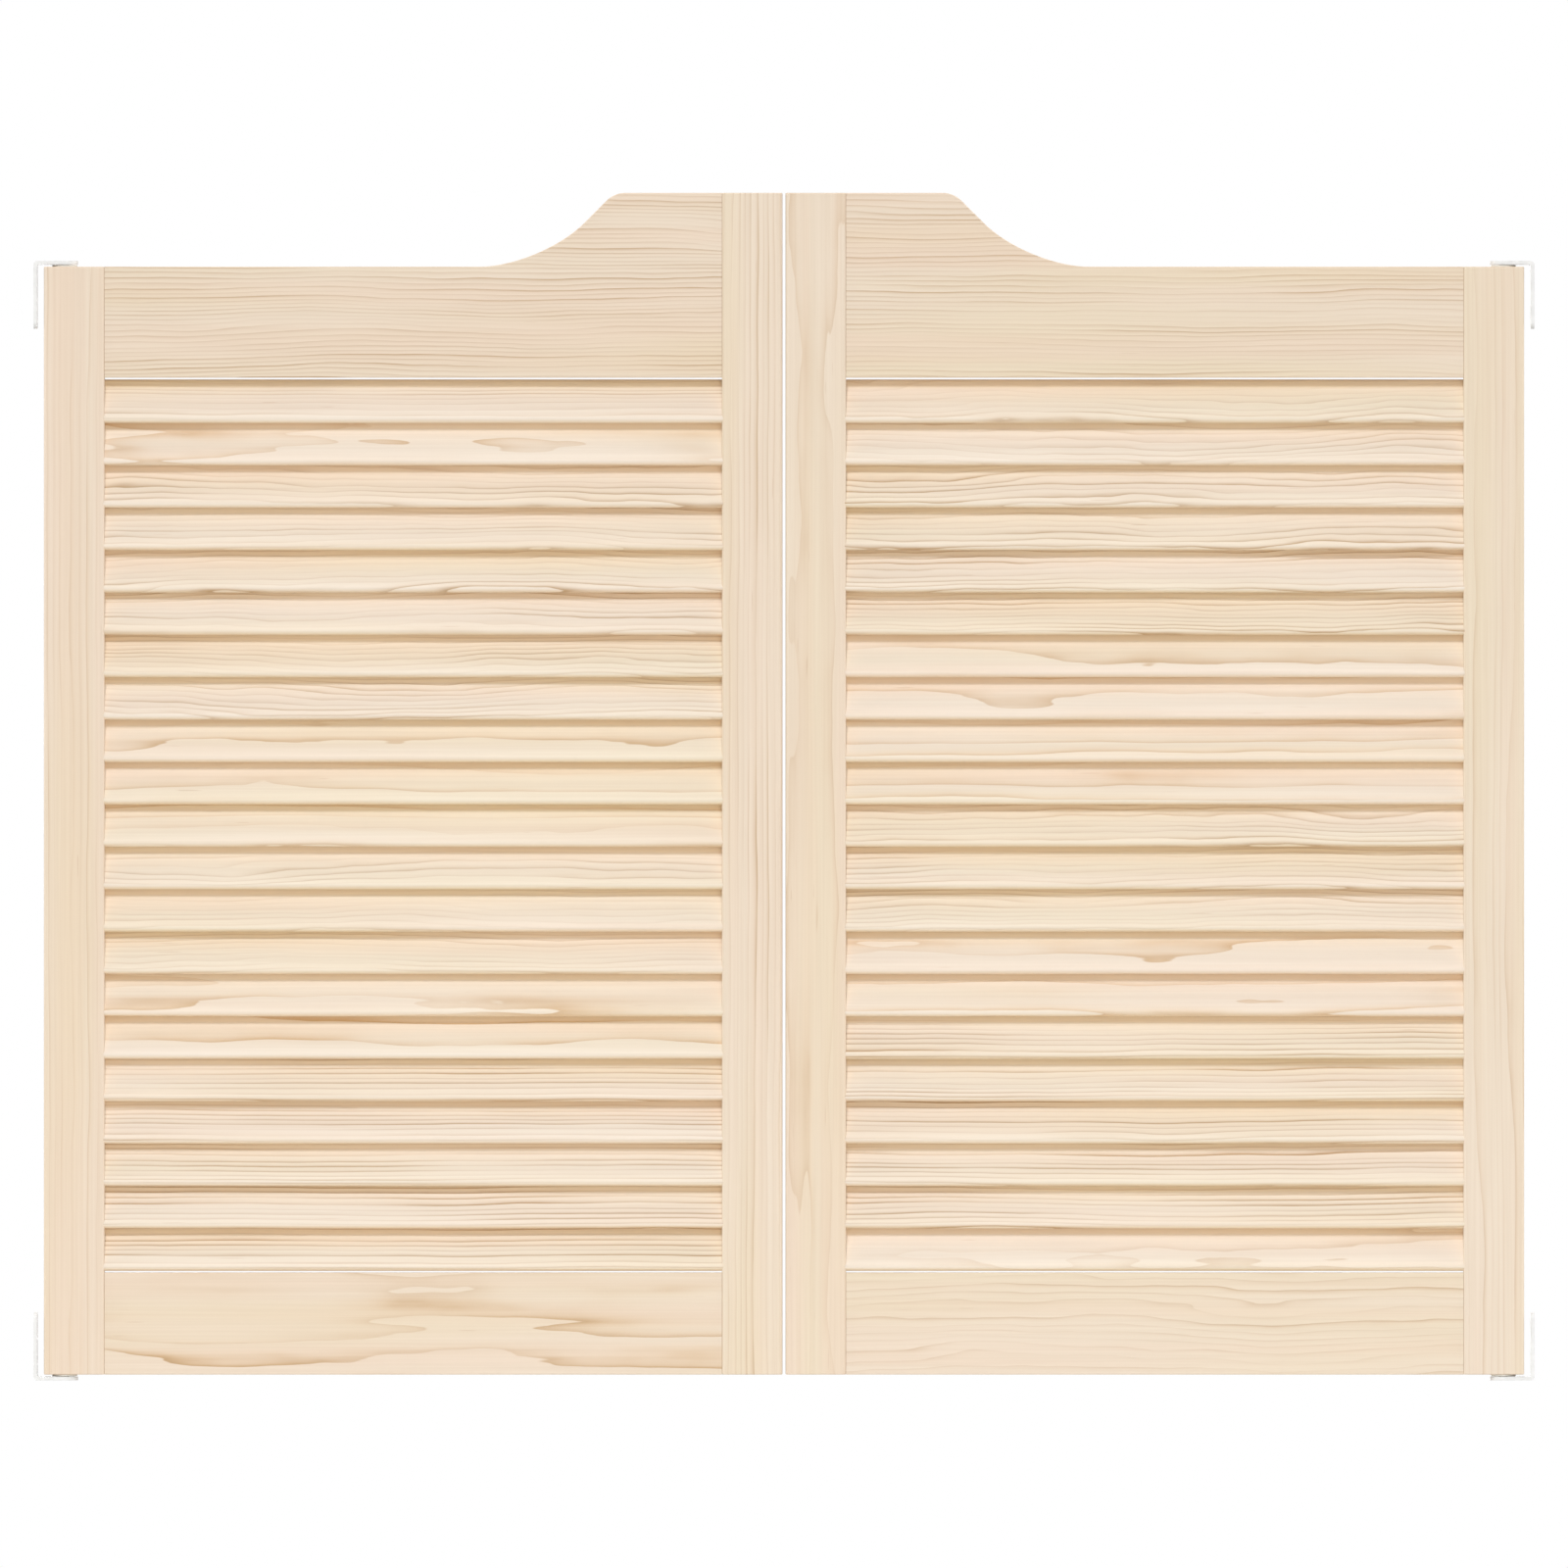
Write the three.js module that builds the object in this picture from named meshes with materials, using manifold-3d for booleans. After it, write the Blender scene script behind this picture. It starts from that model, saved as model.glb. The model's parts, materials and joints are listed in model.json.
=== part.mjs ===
// A pair of louvred pine swing doors for a cafe or bar doorway, in millimetres, +Z up.
// X runs across the doorway and the front faces look along -Y. The origin is at the bottom centre:
// x = 0 in the middle of the meeting gap, y = 0 in the mid-plane of the leaves and z = 0 under the
// lower jamb brackets. Every piece is drawn for the left-hand leaf, from its hinge edge at x = 0 and
// its bottom end at z = 0, and the right-hand leaf is the mirror image.

import * as THREE from 'three';
import { mergeVertices } from 'three/addons/utils/BufferGeometryUtils.js';
import Module from 'manifold-3d';

// Leaf and frame members
const LEAF_WIDTH = 500;
const MEETING_GAP = 2;
const HINGE_STILE_HEIGHT = 750;
const MEETING_STILE_HEIGHT = 800;
const STILE_WIDTH = 41;
const STILE_THICKNESS = 20;
const STILE_EASE = 1.5;
const STILE_END_EASE = 0.8;
const RAIL_THICKNESS = 19;
const RAIL_EASE = 0.6;
const TOP_RAIL_HEIGHT = 75;
const BOTTOM_RAIL_HEIGHT = 69;

// Sweep of the top rail: a flat crest beside the meeting stile, a rounded shoulder, a straight ramp
// and a wide scoop that runs out level on the hinge side
const CREST_LENGTH = 107;
const CREST_RADIUS = 16.5;
const RAMP_ANGLE = THREE.MathUtils.degToRad(45);
const SCOOP_RADIUS = 100;

// Mortise and tenon joints
const TENON_THICKNESS = 7;
const TENON_LENGTH = 16;
const TENON_SHOULDER = 10;
const TENON_FIT = 0.3;

// Slats, with fully rounded long edges, lower edge to the front
const SLAT_COUNT = 21;
const SLAT_WIDTH = 33;
const SLAT_THICKNESS = 6;
const SLAT_TILT = THREE.MathUtils.degToRad(29);
const SLAT_FIELD_GAP = 1.2;
const SLOT_DEPTH = 7;
const SLOT_FIT = 0.3;

// Pivots in the two ends of the hinge stile
const PIVOT_INSET = 14;
const PIN_RADIUS = 3;
const PIN_CLEARANCE = 0.25;
const UPPER_PIN_REACH = 15;
const BUSH_WALL = 3.45;
const BUSH_FIT = 0.3;
const UPPER_BUSH_LENGTH = 16;
const LOWER_BUSH_LENGTH = 12;
const FLANGE_RADIUS = 8.5;
const FLANGE_THICKNESS = 1.2;
const FLANGE_CLEARANCE = 0.3;

// Torsion spring round the lower pin, from a hole in the lower bush to a slot across the pin's tip
const WIRE_RADIUS = 0.9;
const WIRE_FIT = 0.3;
const SPRING_TURNS = 8;
const COIL_GAP = 0.8;
const COIL_PIN_GAP = 0.7;
const INSIDE_BEND_RADIUS = 0.8;
const SPRING_LEG_LENGTH = 3.5;
const PIN_TIP_COVER = 1.5;
const SPRING_HEADROOM = 1.5;

// Jamb brackets
const SHEET_THICKNESS = 2.5;
const BEND_RADIUS = 1.5;
const BRACKET_WIDTH = 18;
const BRACKET_LEG_LENGTH = 46;
const BRACKET_CORNER_RADIUS = 4;
const JAMB_CLEARANCE = 4.5;
const SCREW_HOLE_RADIUS = 2.2;
const COUNTERSINK_RADIUS = 4.2;
const COUNTERSINK_DEPTH = 2;
const SCREW_HOLE_HEIGHTS = [16, 36];

// Smoothness of round stretches
const ROUND_SIDES = 20;
const EDGE_ROUND_STEPS = 2;
const SWEEP_STEPS = 6;
const WIRE_SIDES = 5;
const WIRE_STEP = 2.4;
const COIL_STEPS = 12;
const WIRE_BEND_STEPS = 3;
const CUT_OVERRUN = 5;

// Heights and places that follow from the sizes above
const endGap = FLANGE_THICKNESS + FLANGE_CLEARANCE;
const leafLift = SHEET_THICKNESS + endGap;
const fieldBottom = BOTTOM_RAIL_HEIGHT;
const fieldTop = HINGE_STILE_HEIGHT - TOP_RAIL_HEIGHT;
const slatRise = (SLAT_WIDTH - SLAT_THICKNESS) * Math.cos(SLAT_TILT) + SLAT_THICKNESS;
const firstSlatHeight = fieldTop - SLAT_FIELD_GAP - slatRise / 2;
const lastSlatHeight = fieldBottom + SLAT_FIELD_GAP + slatRise / 2;
const slatPitch = (firstSlatHeight - lastSlatHeight) / (SLAT_COUNT - 1);
const bushBoreRadius = PIN_RADIUS + PIN_CLEARANCE;
const bushRadius = bushBoreRadius + BUSH_WALL;
const stileBoreRadius = bushRadius + BUSH_FIT;
const coilRadius = PIN_RADIUS + COIL_PIN_GAP + WIRE_RADIUS;
const coilHeight = SPRING_TURNS * (2 * WIRE_RADIUS + COIL_GAP);
const wireBend = INSIDE_BEND_RADIUS + WIRE_RADIUS;
const springBottom = LOWER_BUSH_LENGTH + WIRE_FIT + WIRE_RADIUS;
const springTop = springBottom + coilHeight;
const lowerPinReach = springTop + WIRE_RADIUS + PIN_TIP_COVER;
const upperBoreDepth = UPPER_BUSH_LENGTH + BUSH_FIT;
const lowerBoreDepth = lowerPinReach + SPRING_HEADROOM;

const wasm = await Module();
wasm.setup();

const X_AXIS = new THREE.Vector3(1, 0, 0);
const Y_AXIS = new THREE.Vector3(0, 1, 0);
const Z_AXIS = new THREE.Vector3(0, 0, 1);

// Turns a drawing so that its extrusion runs along +X, with the drawing's x along +Y and its y along +Z
const ALONG_X = new THREE.Matrix4().makeBasis(Y_AXIS, Z_AXIS, X_AXIS);

// Turns a drawing so that its extrusion runs along -Y, with the drawing's x along +X and its y along +Z
const ALONG_MINUS_Y = new THREE.Matrix4().makeBasis(X_AXIS, Z_AXIS, Y_AXIS.clone().negate());

function solidOf(geometry) {
  const bare = geometry.clone();
  bare.deleteAttribute('normal');
  bare.deleteAttribute('uv');
  const merged = mergeVertices(bare, 1e-4);
  return new wasm.Manifold(new wasm.Mesh({
    numProp: 3,
    vertProperties: new Float32Array(merged.attributes.position.array),
    triVerts: new Uint32Array(merged.index.array),
  }));
}

function geometryOf(solid) {
  const mesh = solid.getMesh();
  const geometry = new THREE.BufferGeometry();
  geometry.setAttribute('position', new THREE.BufferAttribute(mesh.vertProperties, 3));
  geometry.setIndex(new THREE.BufferAttribute(mesh.triVerts, 1));
  geometry.computeVertexNormals();
  return geometry;
}

// A box between two corners
function block(low, high) {
  const size = high.map((value, axis) => value - low[axis]);
  const middle = high.map((value, axis) => (value + low[axis]) / 2);
  return new THREE.BoxGeometry(...size).translate(...middle);
}

// A round bar along Z, tapered where its two radii differ
function upright(lowRadius, highRadius, low, high) {
  return new THREE.CylinderGeometry(highRadius, lowRadius, high - low, ROUND_SIDES)
    .rotateX(Math.PI / 2)
    .translate(0, 0, (low + high) / 2);
}

function roundedRectangle(left, bottom, right, top, radius) {
  const shape = new THREE.Shape();
  shape.moveTo(left + radius, bottom);
  shape.absarc(right - radius, bottom + radius, radius, -Math.PI / 2, 0);
  shape.absarc(right - radius, top - radius, radius, 0, Math.PI / 2);
  shape.absarc(left + radius, top - radius, radius, Math.PI / 2, Math.PI);
  shape.absarc(left + radius, bottom + radius, radius, Math.PI, Math.PI * 1.5);
  return shape;
}

// An upright slot outline with round ends, centred on its origin
function stadium(length, width) {
  const radius = width / 2;
  const reach = length / 2 - radius;
  const shape = new THREE.Shape();
  shape.absarc(0, reach, radius, 0, Math.PI);
  shape.absarc(0, -reach, radius, Math.PI, Math.PI * 2);
  return shape;
}

// A plain bar along X with the given section
function barAlongX(section, from, to, steps) {
  return new THREE.ExtrudeGeometry(section, { depth: to - from, bevelEnabled: false, curveSegments: steps })
    .applyMatrix4(ALONG_X)
    .translate(from, 0, 0);
}

// Tenon between two heights, or the mortise for it where it is grown by the fit
function tenonBar(from, to, low, high, grow) {
  const section = stadium(high - low + 2 * grow, TENON_THICKNESS + 2 * grow);
  return barAlongX(section, from, to, EDGE_ROUND_STEPS).translate(0, 0, (low + high) / 2);
}

// Slat between two places along X, or the slot for it where it is grown by the fit
function slatBar(from, to, grow) {
  const section = stadium(SLAT_WIDTH + 2 * grow, SLAT_THICKNESS + 2 * grow);
  return barAlongX(section, from, to, EDGE_ROUND_STEPS).rotateX(-SLAT_TILT);
}

function slatHeight(index) {
  return firstSlatHeight - index * slatPitch;
}

// The tenons of the two rails, as the heights of their lower and upper edges
const bottomTenon = [TENON_SHOULDER, BOTTOM_RAIL_HEIGHT - TENON_SHOULDER];
const topTenonHingeSide = [fieldTop + TENON_SHOULDER, HINGE_STILE_HEIGHT - TENON_SHOULDER];
const topTenonMeetingSide = [fieldTop + TENON_SHOULDER, MEETING_STILE_HEIGHT - TENON_SHOULDER];

// A stile with eased edges, mortised and slotted in the edge that faces the slats
function stile(left, height, innerEdge, inward, topTenon) {
  const half = STILE_THICKNESS / 2;
  const section = roundedRectangle(left, -half, left + STILE_WIDTH, half, STILE_EASE);
  const board = new THREE.ExtrudeGeometry(section, {
    depth: height - 2 * STILE_END_EASE,
    bevelThickness: STILE_END_EASE,
    bevelSize: STILE_END_EASE,
    bevelOffset: -STILE_END_EASE,
    bevelSegments: EDGE_ROUND_STEPS,
    curveSegments: EDGE_ROUND_STEPS,
  }).translate(0, 0, STILE_END_EASE);
  let solid = solidOf(board);

  const mortiseEnds = [innerEdge - inward * (TENON_LENGTH + TENON_FIT), innerEdge + inward * CUT_OVERRUN];
  const slotEnds = [innerEdge - inward * SLOT_DEPTH, innerEdge + inward * CUT_OVERRUN];
  for (const [low, high] of [bottomTenon, topTenon]) {
    const mortise = tenonBar(Math.min(...mortiseEnds), Math.max(...mortiseEnds), low, high, TENON_FIT);
    solid = solid.subtract(solidOf(mortise));
  }
  const slot = slatBar(Math.min(...slotEnds), Math.max(...slotEnds), SLOT_FIT);
  for (let index = 0; index < SLAT_COUNT; index += 1) {
    solid = solid.subtract(solidOf(slot.clone().translate(0, 0, slatHeight(index))));
  }
  return solid;
}

function hingeStile() {
  const lowerBore = upright(stileBoreRadius, stileBoreRadius, -CUT_OVERRUN, lowerBoreDepth)
    .translate(PIVOT_INSET, 0, 0);
  const upperBore = upright(stileBoreRadius, stileBoreRadius, -upperBoreDepth, CUT_OVERRUN)
    .translate(PIVOT_INSET, 0, HINGE_STILE_HEIGHT);
  return geometryOf(
    stile(0, HINGE_STILE_HEIGHT, STILE_WIDTH, 1, topTenonHingeSide)
      .subtract(solidOf(lowerBore))
      .subtract(solidOf(upperBore)),
  );
}

function meetingStile() {
  const left = LEAF_WIDTH - STILE_WIDTH;
  return geometryOf(stile(left, MEETING_STILE_HEIGHT, left, -1, topTenonMeetingSide));
}

// A rail from shoulder to shoulder, with eased long edges and a tenon at each end
function rail(outline, hingeSideTenon, meetingSideTenon) {
  const board = new THREE.ExtrudeGeometry(outline, {
    depth: RAIL_THICKNESS - 2 * RAIL_EASE,
    bevelThickness: RAIL_EASE,
    bevelSize: RAIL_EASE,
    bevelOffset: -RAIL_EASE,
    bevelSegments: EDGE_ROUND_STEPS,
    curveSegments: SWEEP_STEPS,
  }).applyMatrix4(ALONG_MINUS_Y).translate(0, RAIL_THICKNESS / 2 - RAIL_EASE, 0);
  const hingeShoulder = STILE_WIDTH;
  const meetingShoulder = LEAF_WIDTH - STILE_WIDTH;
  const between = block(
    [hingeShoulder, -RAIL_THICKNESS, -CUT_OVERRUN],
    [meetingShoulder, RAIL_THICKNESS, MEETING_STILE_HEIGHT + CUT_OVERRUN],
  );
  const hingeTenon = tenonBar(
    hingeShoulder - TENON_LENGTH, hingeShoulder + CUT_OVERRUN, ...hingeSideTenon, 0,
  );
  const meetingTenon = tenonBar(
    meetingShoulder - CUT_OVERRUN, meetingShoulder + TENON_LENGTH, ...meetingSideTenon, 0,
  );
  return geometryOf(
    solidOf(board).intersect(solidOf(between)).add(solidOf(hingeTenon)).add(solidOf(meetingTenon)),
  );
}

// The rails are drawn past their shoulders, which cuts the shoulders square
const railLeft = STILE_WIDTH - CUT_OVERRUN;
const railRight = LEAF_WIDTH - STILE_WIDTH + CUT_OVERRUN;

// Draws the sweep from the crest to the scoop. It falls towards the hinge side, or rises where the hinge
// stile is the taller one. The two rounds meet the ramp at its ends, so a short ramp makes them tighter.
function drawSweep(outline) {
  const rise = MEETING_STILE_HEIGHT - HINGE_STILE_HEIGHT;
  const fall = Math.sign(rise);
  const quarter = Math.PI / 2;
  const tangent = Math.tan(RAMP_ANGLE / 2);
  const rampLength = Math.abs(rise) / Math.sin(RAMP_ANGLE);
  const share = Math.min(1, rampLength / ((CREST_RADIUS + SCOOP_RADIUS) * tangent));
  const crest = CREST_RADIUS * share;
  const scoop = SCOOP_RADIUS * share;
  const crestEnd = LEAF_WIDTH - CREST_LENGTH;
  const scoopEnd = crestEnd - rampLength * Math.cos(RAMP_ANGLE) - (crest + scoop) * tangent;
  outline.absarc(
    crestEnd, MEETING_STILE_HEIGHT - fall * crest, crest,
    fall * quarter, fall * (quarter + RAMP_ANGLE), fall < 0,
  );
  outline.absarc(
    scoopEnd, HINGE_STILE_HEIGHT + fall * scoop, scoop,
    fall * (RAMP_ANGLE - quarter), -fall * quarter, fall > 0,
  );
}

function topRail() {
  const outline = new THREE.Shape();
  outline.moveTo(railLeft, fieldTop);
  outline.lineTo(railRight, fieldTop);
  outline.lineTo(railRight, MEETING_STILE_HEIGHT);
  if (MEETING_STILE_HEIGHT !== HINGE_STILE_HEIGHT) drawSweep(outline);
  outline.lineTo(railLeft, HINGE_STILE_HEIGHT);
  return rail(outline, topTenonHingeSide, topTenonMeetingSide);
}

function bottomRail() {
  const outline = new THREE.Shape();
  outline.moveTo(railLeft, 0);
  outline.lineTo(railRight, 0);
  outline.lineTo(railRight, BOTTOM_RAIL_HEIGHT);
  outline.lineTo(railLeft, BOTTOM_RAIL_HEIGHT);
  return rail(outline, bottomTenon, bottomTenon);
}

function slat() {
  const inset = STILE_WIDTH - SLOT_DEPTH + SLOT_FIT;
  return slatBar(inset, LEAF_WIDTH - inset, 0);
}

// A flanged bearing on the pivot axis, its flange below z = 0 and its body in the bore above
function bush(length) {
  const profile = [
    [bushBoreRadius, -FLANGE_THICKNESS],
    [FLANGE_RADIUS, -FLANGE_THICKNESS],
    [FLANGE_RADIUS, 0],
    [bushRadius, 0],
    [bushRadius, length],
    [bushBoreRadius, length],
    [bushBoreRadius, -FLANGE_THICKNESS],
  ].map(([radius, height]) => new THREE.Vector2(radius, height));
  return new THREE.LatheGeometry(profile, ROUND_SIDES).rotateX(Math.PI / 2);
}

// The lower bush also holds the spring's leg in a hole beside the pin
function lowerBush() {
  const holeRadius = WIRE_RADIUS + WIRE_FIT;
  const holeFloor = springBottom - wireBend - SPRING_LEG_LENGTH - WIRE_FIT;
  const legHole = upright(holeRadius, holeRadius, holeFloor, LOWER_BUSH_LENGTH + CUT_OVERRUN)
    .translate(coilRadius, -wireBend, 0);
  return geometryOf(solidOf(bush(LOWER_BUSH_LENGTH)).subtract(solidOf(legHole)));
}

// The angle through which the spring's upper end turns in before it runs straight across the axis
const crossingAngle = Math.acos(-wireBend / (coilRadius - wireBend));

// The spring's wire round its own axis: a leg that stands in the bush, the turns, and an end that bends
// in and crosses the axis
function springPath() {
  const points = [new THREE.Vector3(coilRadius, -wireBend, -wireBend - SPRING_LEG_LENGTH)];
  for (let step = 0; step < WIRE_BEND_STEPS; step += 1) {
    const angle = step / WIRE_BEND_STEPS * Math.PI / 2;
    points.push(new THREE.Vector3(
      coilRadius, -wireBend * Math.cos(angle), wireBend * (Math.sin(angle) - 1),
    ));
  }
  const coilSteps = SPRING_TURNS * COIL_STEPS;
  for (let step = 0; step <= coilSteps; step += 1) {
    const angle = step / COIL_STEPS * 2 * Math.PI;
    points.push(new THREE.Vector3(
      coilRadius * Math.cos(angle), coilRadius * Math.sin(angle), step / coilSteps * coilHeight,
    ));
  }
  for (let step = 1; step <= WIRE_BEND_STEPS; step += 1) {
    const angle = step / WIRE_BEND_STEPS * crossingAngle;
    points.push(new THREE.Vector3(
      coilRadius - wireBend * (1 - Math.cos(angle)), wireBend * Math.sin(angle), coilHeight,
    ));
  }
  points.push(new THREE.Vector3(
    -PIN_RADIUS * Math.sin(crossingAngle), PIN_RADIUS * Math.cos(crossingAngle), coilHeight,
  ));
  return new THREE.CatmullRomCurve3(points, false, 'centripetal');
}

function returnSpring() {
  const path = springPath();
  const section = new THREE.Shape();
  for (let side = 0; side < WIRE_SIDES; side += 1) {
    const angle = side / WIRE_SIDES * 2 * Math.PI;
    const corner = [WIRE_RADIUS * Math.cos(angle), WIRE_RADIUS * Math.sin(angle)];
    if (side === 0) section.moveTo(...corner);
    else section.lineTo(...corner);
  }
  return new THREE.ExtrudeGeometry(section, {
    steps: Math.round(path.getLength() / WIRE_STEP),
    extrudePath: path,
    bevelEnabled: false,
  });
}

// A bent sheet bracket under the end of the stile: a tongue below the pivot and a leg up the jamb,
// in the clearance beside the stile
function bracket(pinReach) {
  const tongueTop = -endGap;
  const tongueBottom = tongueTop - SHEET_THICKNESS;
  const legFace = -JAMB_CLEARANCE;
  const jambFace = legFace - SHEET_THICKNESS;
  const legTop = tongueBottom + BRACKET_LEG_LENGTH;
  const half = BRACKET_WIDTH / 2;
  const tip = PIVOT_INSET + half;
  const outerBend = BEND_RADIUS + SHEET_THICKNESS;

  const profile = new THREE.Shape();
  profile.moveTo(tip, tongueBottom);
  profile.lineTo(tip, tongueTop);
  profile.absarc(legFace + BEND_RADIUS, tongueTop + BEND_RADIUS, BEND_RADIUS, -Math.PI / 2, -Math.PI, true);
  profile.lineTo(legFace, legTop);
  profile.lineTo(jambFace, legTop);
  profile.absarc(jambFace + outerBend, tongueBottom + outerBend, outerBend, Math.PI, Math.PI * 1.5, false);
  const sheet = new THREE.ExtrudeGeometry(profile, {
    depth: BRACKET_WIDTH, bevelEnabled: false, curveSegments: EDGE_ROUND_STEPS,
  }).applyMatrix4(ALONG_MINUS_Y).translate(0, half, 0);

  const tongueOutline = new THREE.Shape();
  tongueOutline.moveTo(jambFace - CUT_OVERRUN, -half);
  tongueOutline.lineTo(PIVOT_INSET, -half);
  tongueOutline.absarc(PIVOT_INSET, 0, half, -Math.PI / 2, Math.PI / 2);
  tongueOutline.lineTo(jambFace - CUT_OVERRUN, half);
  const tongueTrim = new THREE.ExtrudeGeometry(tongueOutline, {
    depth: BRACKET_LEG_LENGTH + 2 * CUT_OVERRUN, bevelEnabled: false, curveSegments: SWEEP_STEPS,
  }).translate(0, 0, tongueBottom - CUT_OVERRUN);

  const legOutline = roundedRectangle(
    -half, tongueBottom - BRACKET_CORNER_RADIUS, half, legTop, BRACKET_CORNER_RADIUS,
  );
  const legTrim = barAlongX(legOutline, jambFace - CUT_OVERRUN, tip + CUT_OVERRUN, EDGE_ROUND_STEPS);

  let solid = solidOf(sheet).intersect(solidOf(tongueTrim)).intersect(solidOf(legTrim));
  for (const height of SCREW_HOLE_HEIGHTS) {
    const hole = upright(SCREW_HOLE_RADIUS, SCREW_HOLE_RADIUS, -CUT_OVERRUN, CUT_OVERRUN)
      .rotateY(Math.PI / 2)
      .translate(legFace, 0, tongueBottom + height);
    const sink = upright(SCREW_HOLE_RADIUS, COUNTERSINK_RADIUS, -COUNTERSINK_DEPTH, 0)
      .rotateY(Math.PI / 2)
      .translate(legFace, 0, tongueBottom + height);
    solid = solid.subtract(solidOf(hole)).subtract(solidOf(sink));
  }
  const pin = upright(PIN_RADIUS, PIN_RADIUS, tongueBottom, pinReach).translate(PIVOT_INSET, 0, 0);
  return solid.add(solidOf(pin));
}

// The lower pin is slotted across its tip for the spring's upper end
function lowerBracket() {
  const slotHalf = WIRE_RADIUS + WIRE_FIT;
  const slot = block(
    [-PIN_RADIUS * 2, -slotHalf, springTop - slotHalf],
    [PIN_RADIUS * 2, slotHalf, lowerPinReach + CUT_OVERRUN],
  ).rotateZ(crossingAngle + Math.PI / 2).translate(PIVOT_INSET, 0, 0);
  return geometryOf(bracket(lowerPinReach).subtract(solidOf(slot)));
}

function upperBracket() {
  return geometryOf(bracket(UPPER_PIN_REACH));
}

// The mirror image of a piece across x = 0, with its faces turned to point out again
function mirrored(geometry) {
  const image = geometry.clone().scale(-1, 1, 1);
  const corners = image.index ?? new THREE.BufferAttribute(
    Uint32Array.from({ length: image.attributes.position.count }, (_, corner) => corner), 1,
  );
  const turned = new Uint32Array(corners.array);
  for (let first = 0; first < turned.length; first += 3) {
    [turned[first + 1], turned[first + 2]] = [turned[first + 2], turned[first + 1]];
  }
  image.setIndex(new THREE.BufferAttribute(turned, 1));
  return image;
}

const frameWood = new THREE.MeshStandardMaterial({ color: 0xecd9c1, roughness: 0.7, metalness: 0 });
const slatWood = new THREE.MeshStandardMaterial({ color: 0xf0dfc6, roughness: 0.7, metalness: 0 });
const coatedSteel = new THREE.MeshStandardMaterial({ color: 0xf1f0ec, roughness: 0.45, metalness: 0 });
const nylon = new THREE.MeshStandardMaterial({ color: 0xf2efe6, roughness: 0.5, metalness: 0 });
const springSteel = new THREE.MeshStandardMaterial({ color: 0xb8babb, roughness: 0.35, metalness: 1 });

// One piece of a leaf: its name, shape, material, and its place and half turn about X in the leaf
const pieces = [
  { name: 'hinge_stile', geometry: hingeStile(), material: frameWood },
  { name: 'meeting_stile', geometry: meetingStile(), material: frameWood },
  { name: 'top_rail', geometry: topRail(), material: frameWood },
  { name: 'bottom_rail', geometry: bottomRail(), material: frameWood },
  { name: 'lower_bracket', geometry: lowerBracket(), material: coatedSteel },
  {
    name: 'upper_bracket', geometry: upperBracket(), material: coatedSteel,
    lift: HINGE_STILE_HEIGHT, over: true,
  },
  { name: 'lower_bush', geometry: lowerBush(), material: nylon, inset: PIVOT_INSET },
  {
    name: 'upper_bush', geometry: bush(UPPER_BUSH_LENGTH), material: nylon,
    inset: PIVOT_INSET, lift: HINGE_STILE_HEIGHT, over: true,
  },
  {
    name: 'return_spring', geometry: returnSpring(), material: springSteel,
    inset: PIVOT_INSET, lift: springBottom,
  },
];
const slatGeometry = slat();
for (let index = 0; index < SLAT_COUNT; index += 1) {
  pieces.push({
    name: `slat_${String(index + 1).padStart(2, '0')}`,
    geometry: slatGeometry,
    material: slatWood,
    lift: slatHeight(index),
  });
}

function leaf(side, hand) {
  const group = new THREE.Group();
  for (const { name, geometry, material, inset = 0, lift = 0, over = false } of pieces) {
    const mesh = new THREE.Mesh(hand < 0 ? mirrored(geometry) : geometry, material);
    mesh.name = `${side}_${name}`;
    mesh.position.set(hand * inset, 0, lift);
    mesh.rotation.x = over ? Math.PI : 0;
    group.add(mesh);
  }
  group.position.set(-hand * (LEAF_WIDTH + MEETING_GAP / 2), 0, leafLift);
  return group;
}

const doors = new THREE.Group();
doors.add(leaf('left', 1));
doors.add(leaf('right', -1));

export default doors;
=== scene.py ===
"""A pair of louvred pine swing doors, dressed for the camera.

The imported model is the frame. Each of its pieces is modelled again in the same place with rounded edges
and a finish of its own, and the brackets get their screws. Lengths are in metres, +Z is up and the
fronts of the leaves look along -Y. Left-hand pieces are modelled and the right-hand ones copied from them.
"""

import json
import math
from collections import namedtuple

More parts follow.
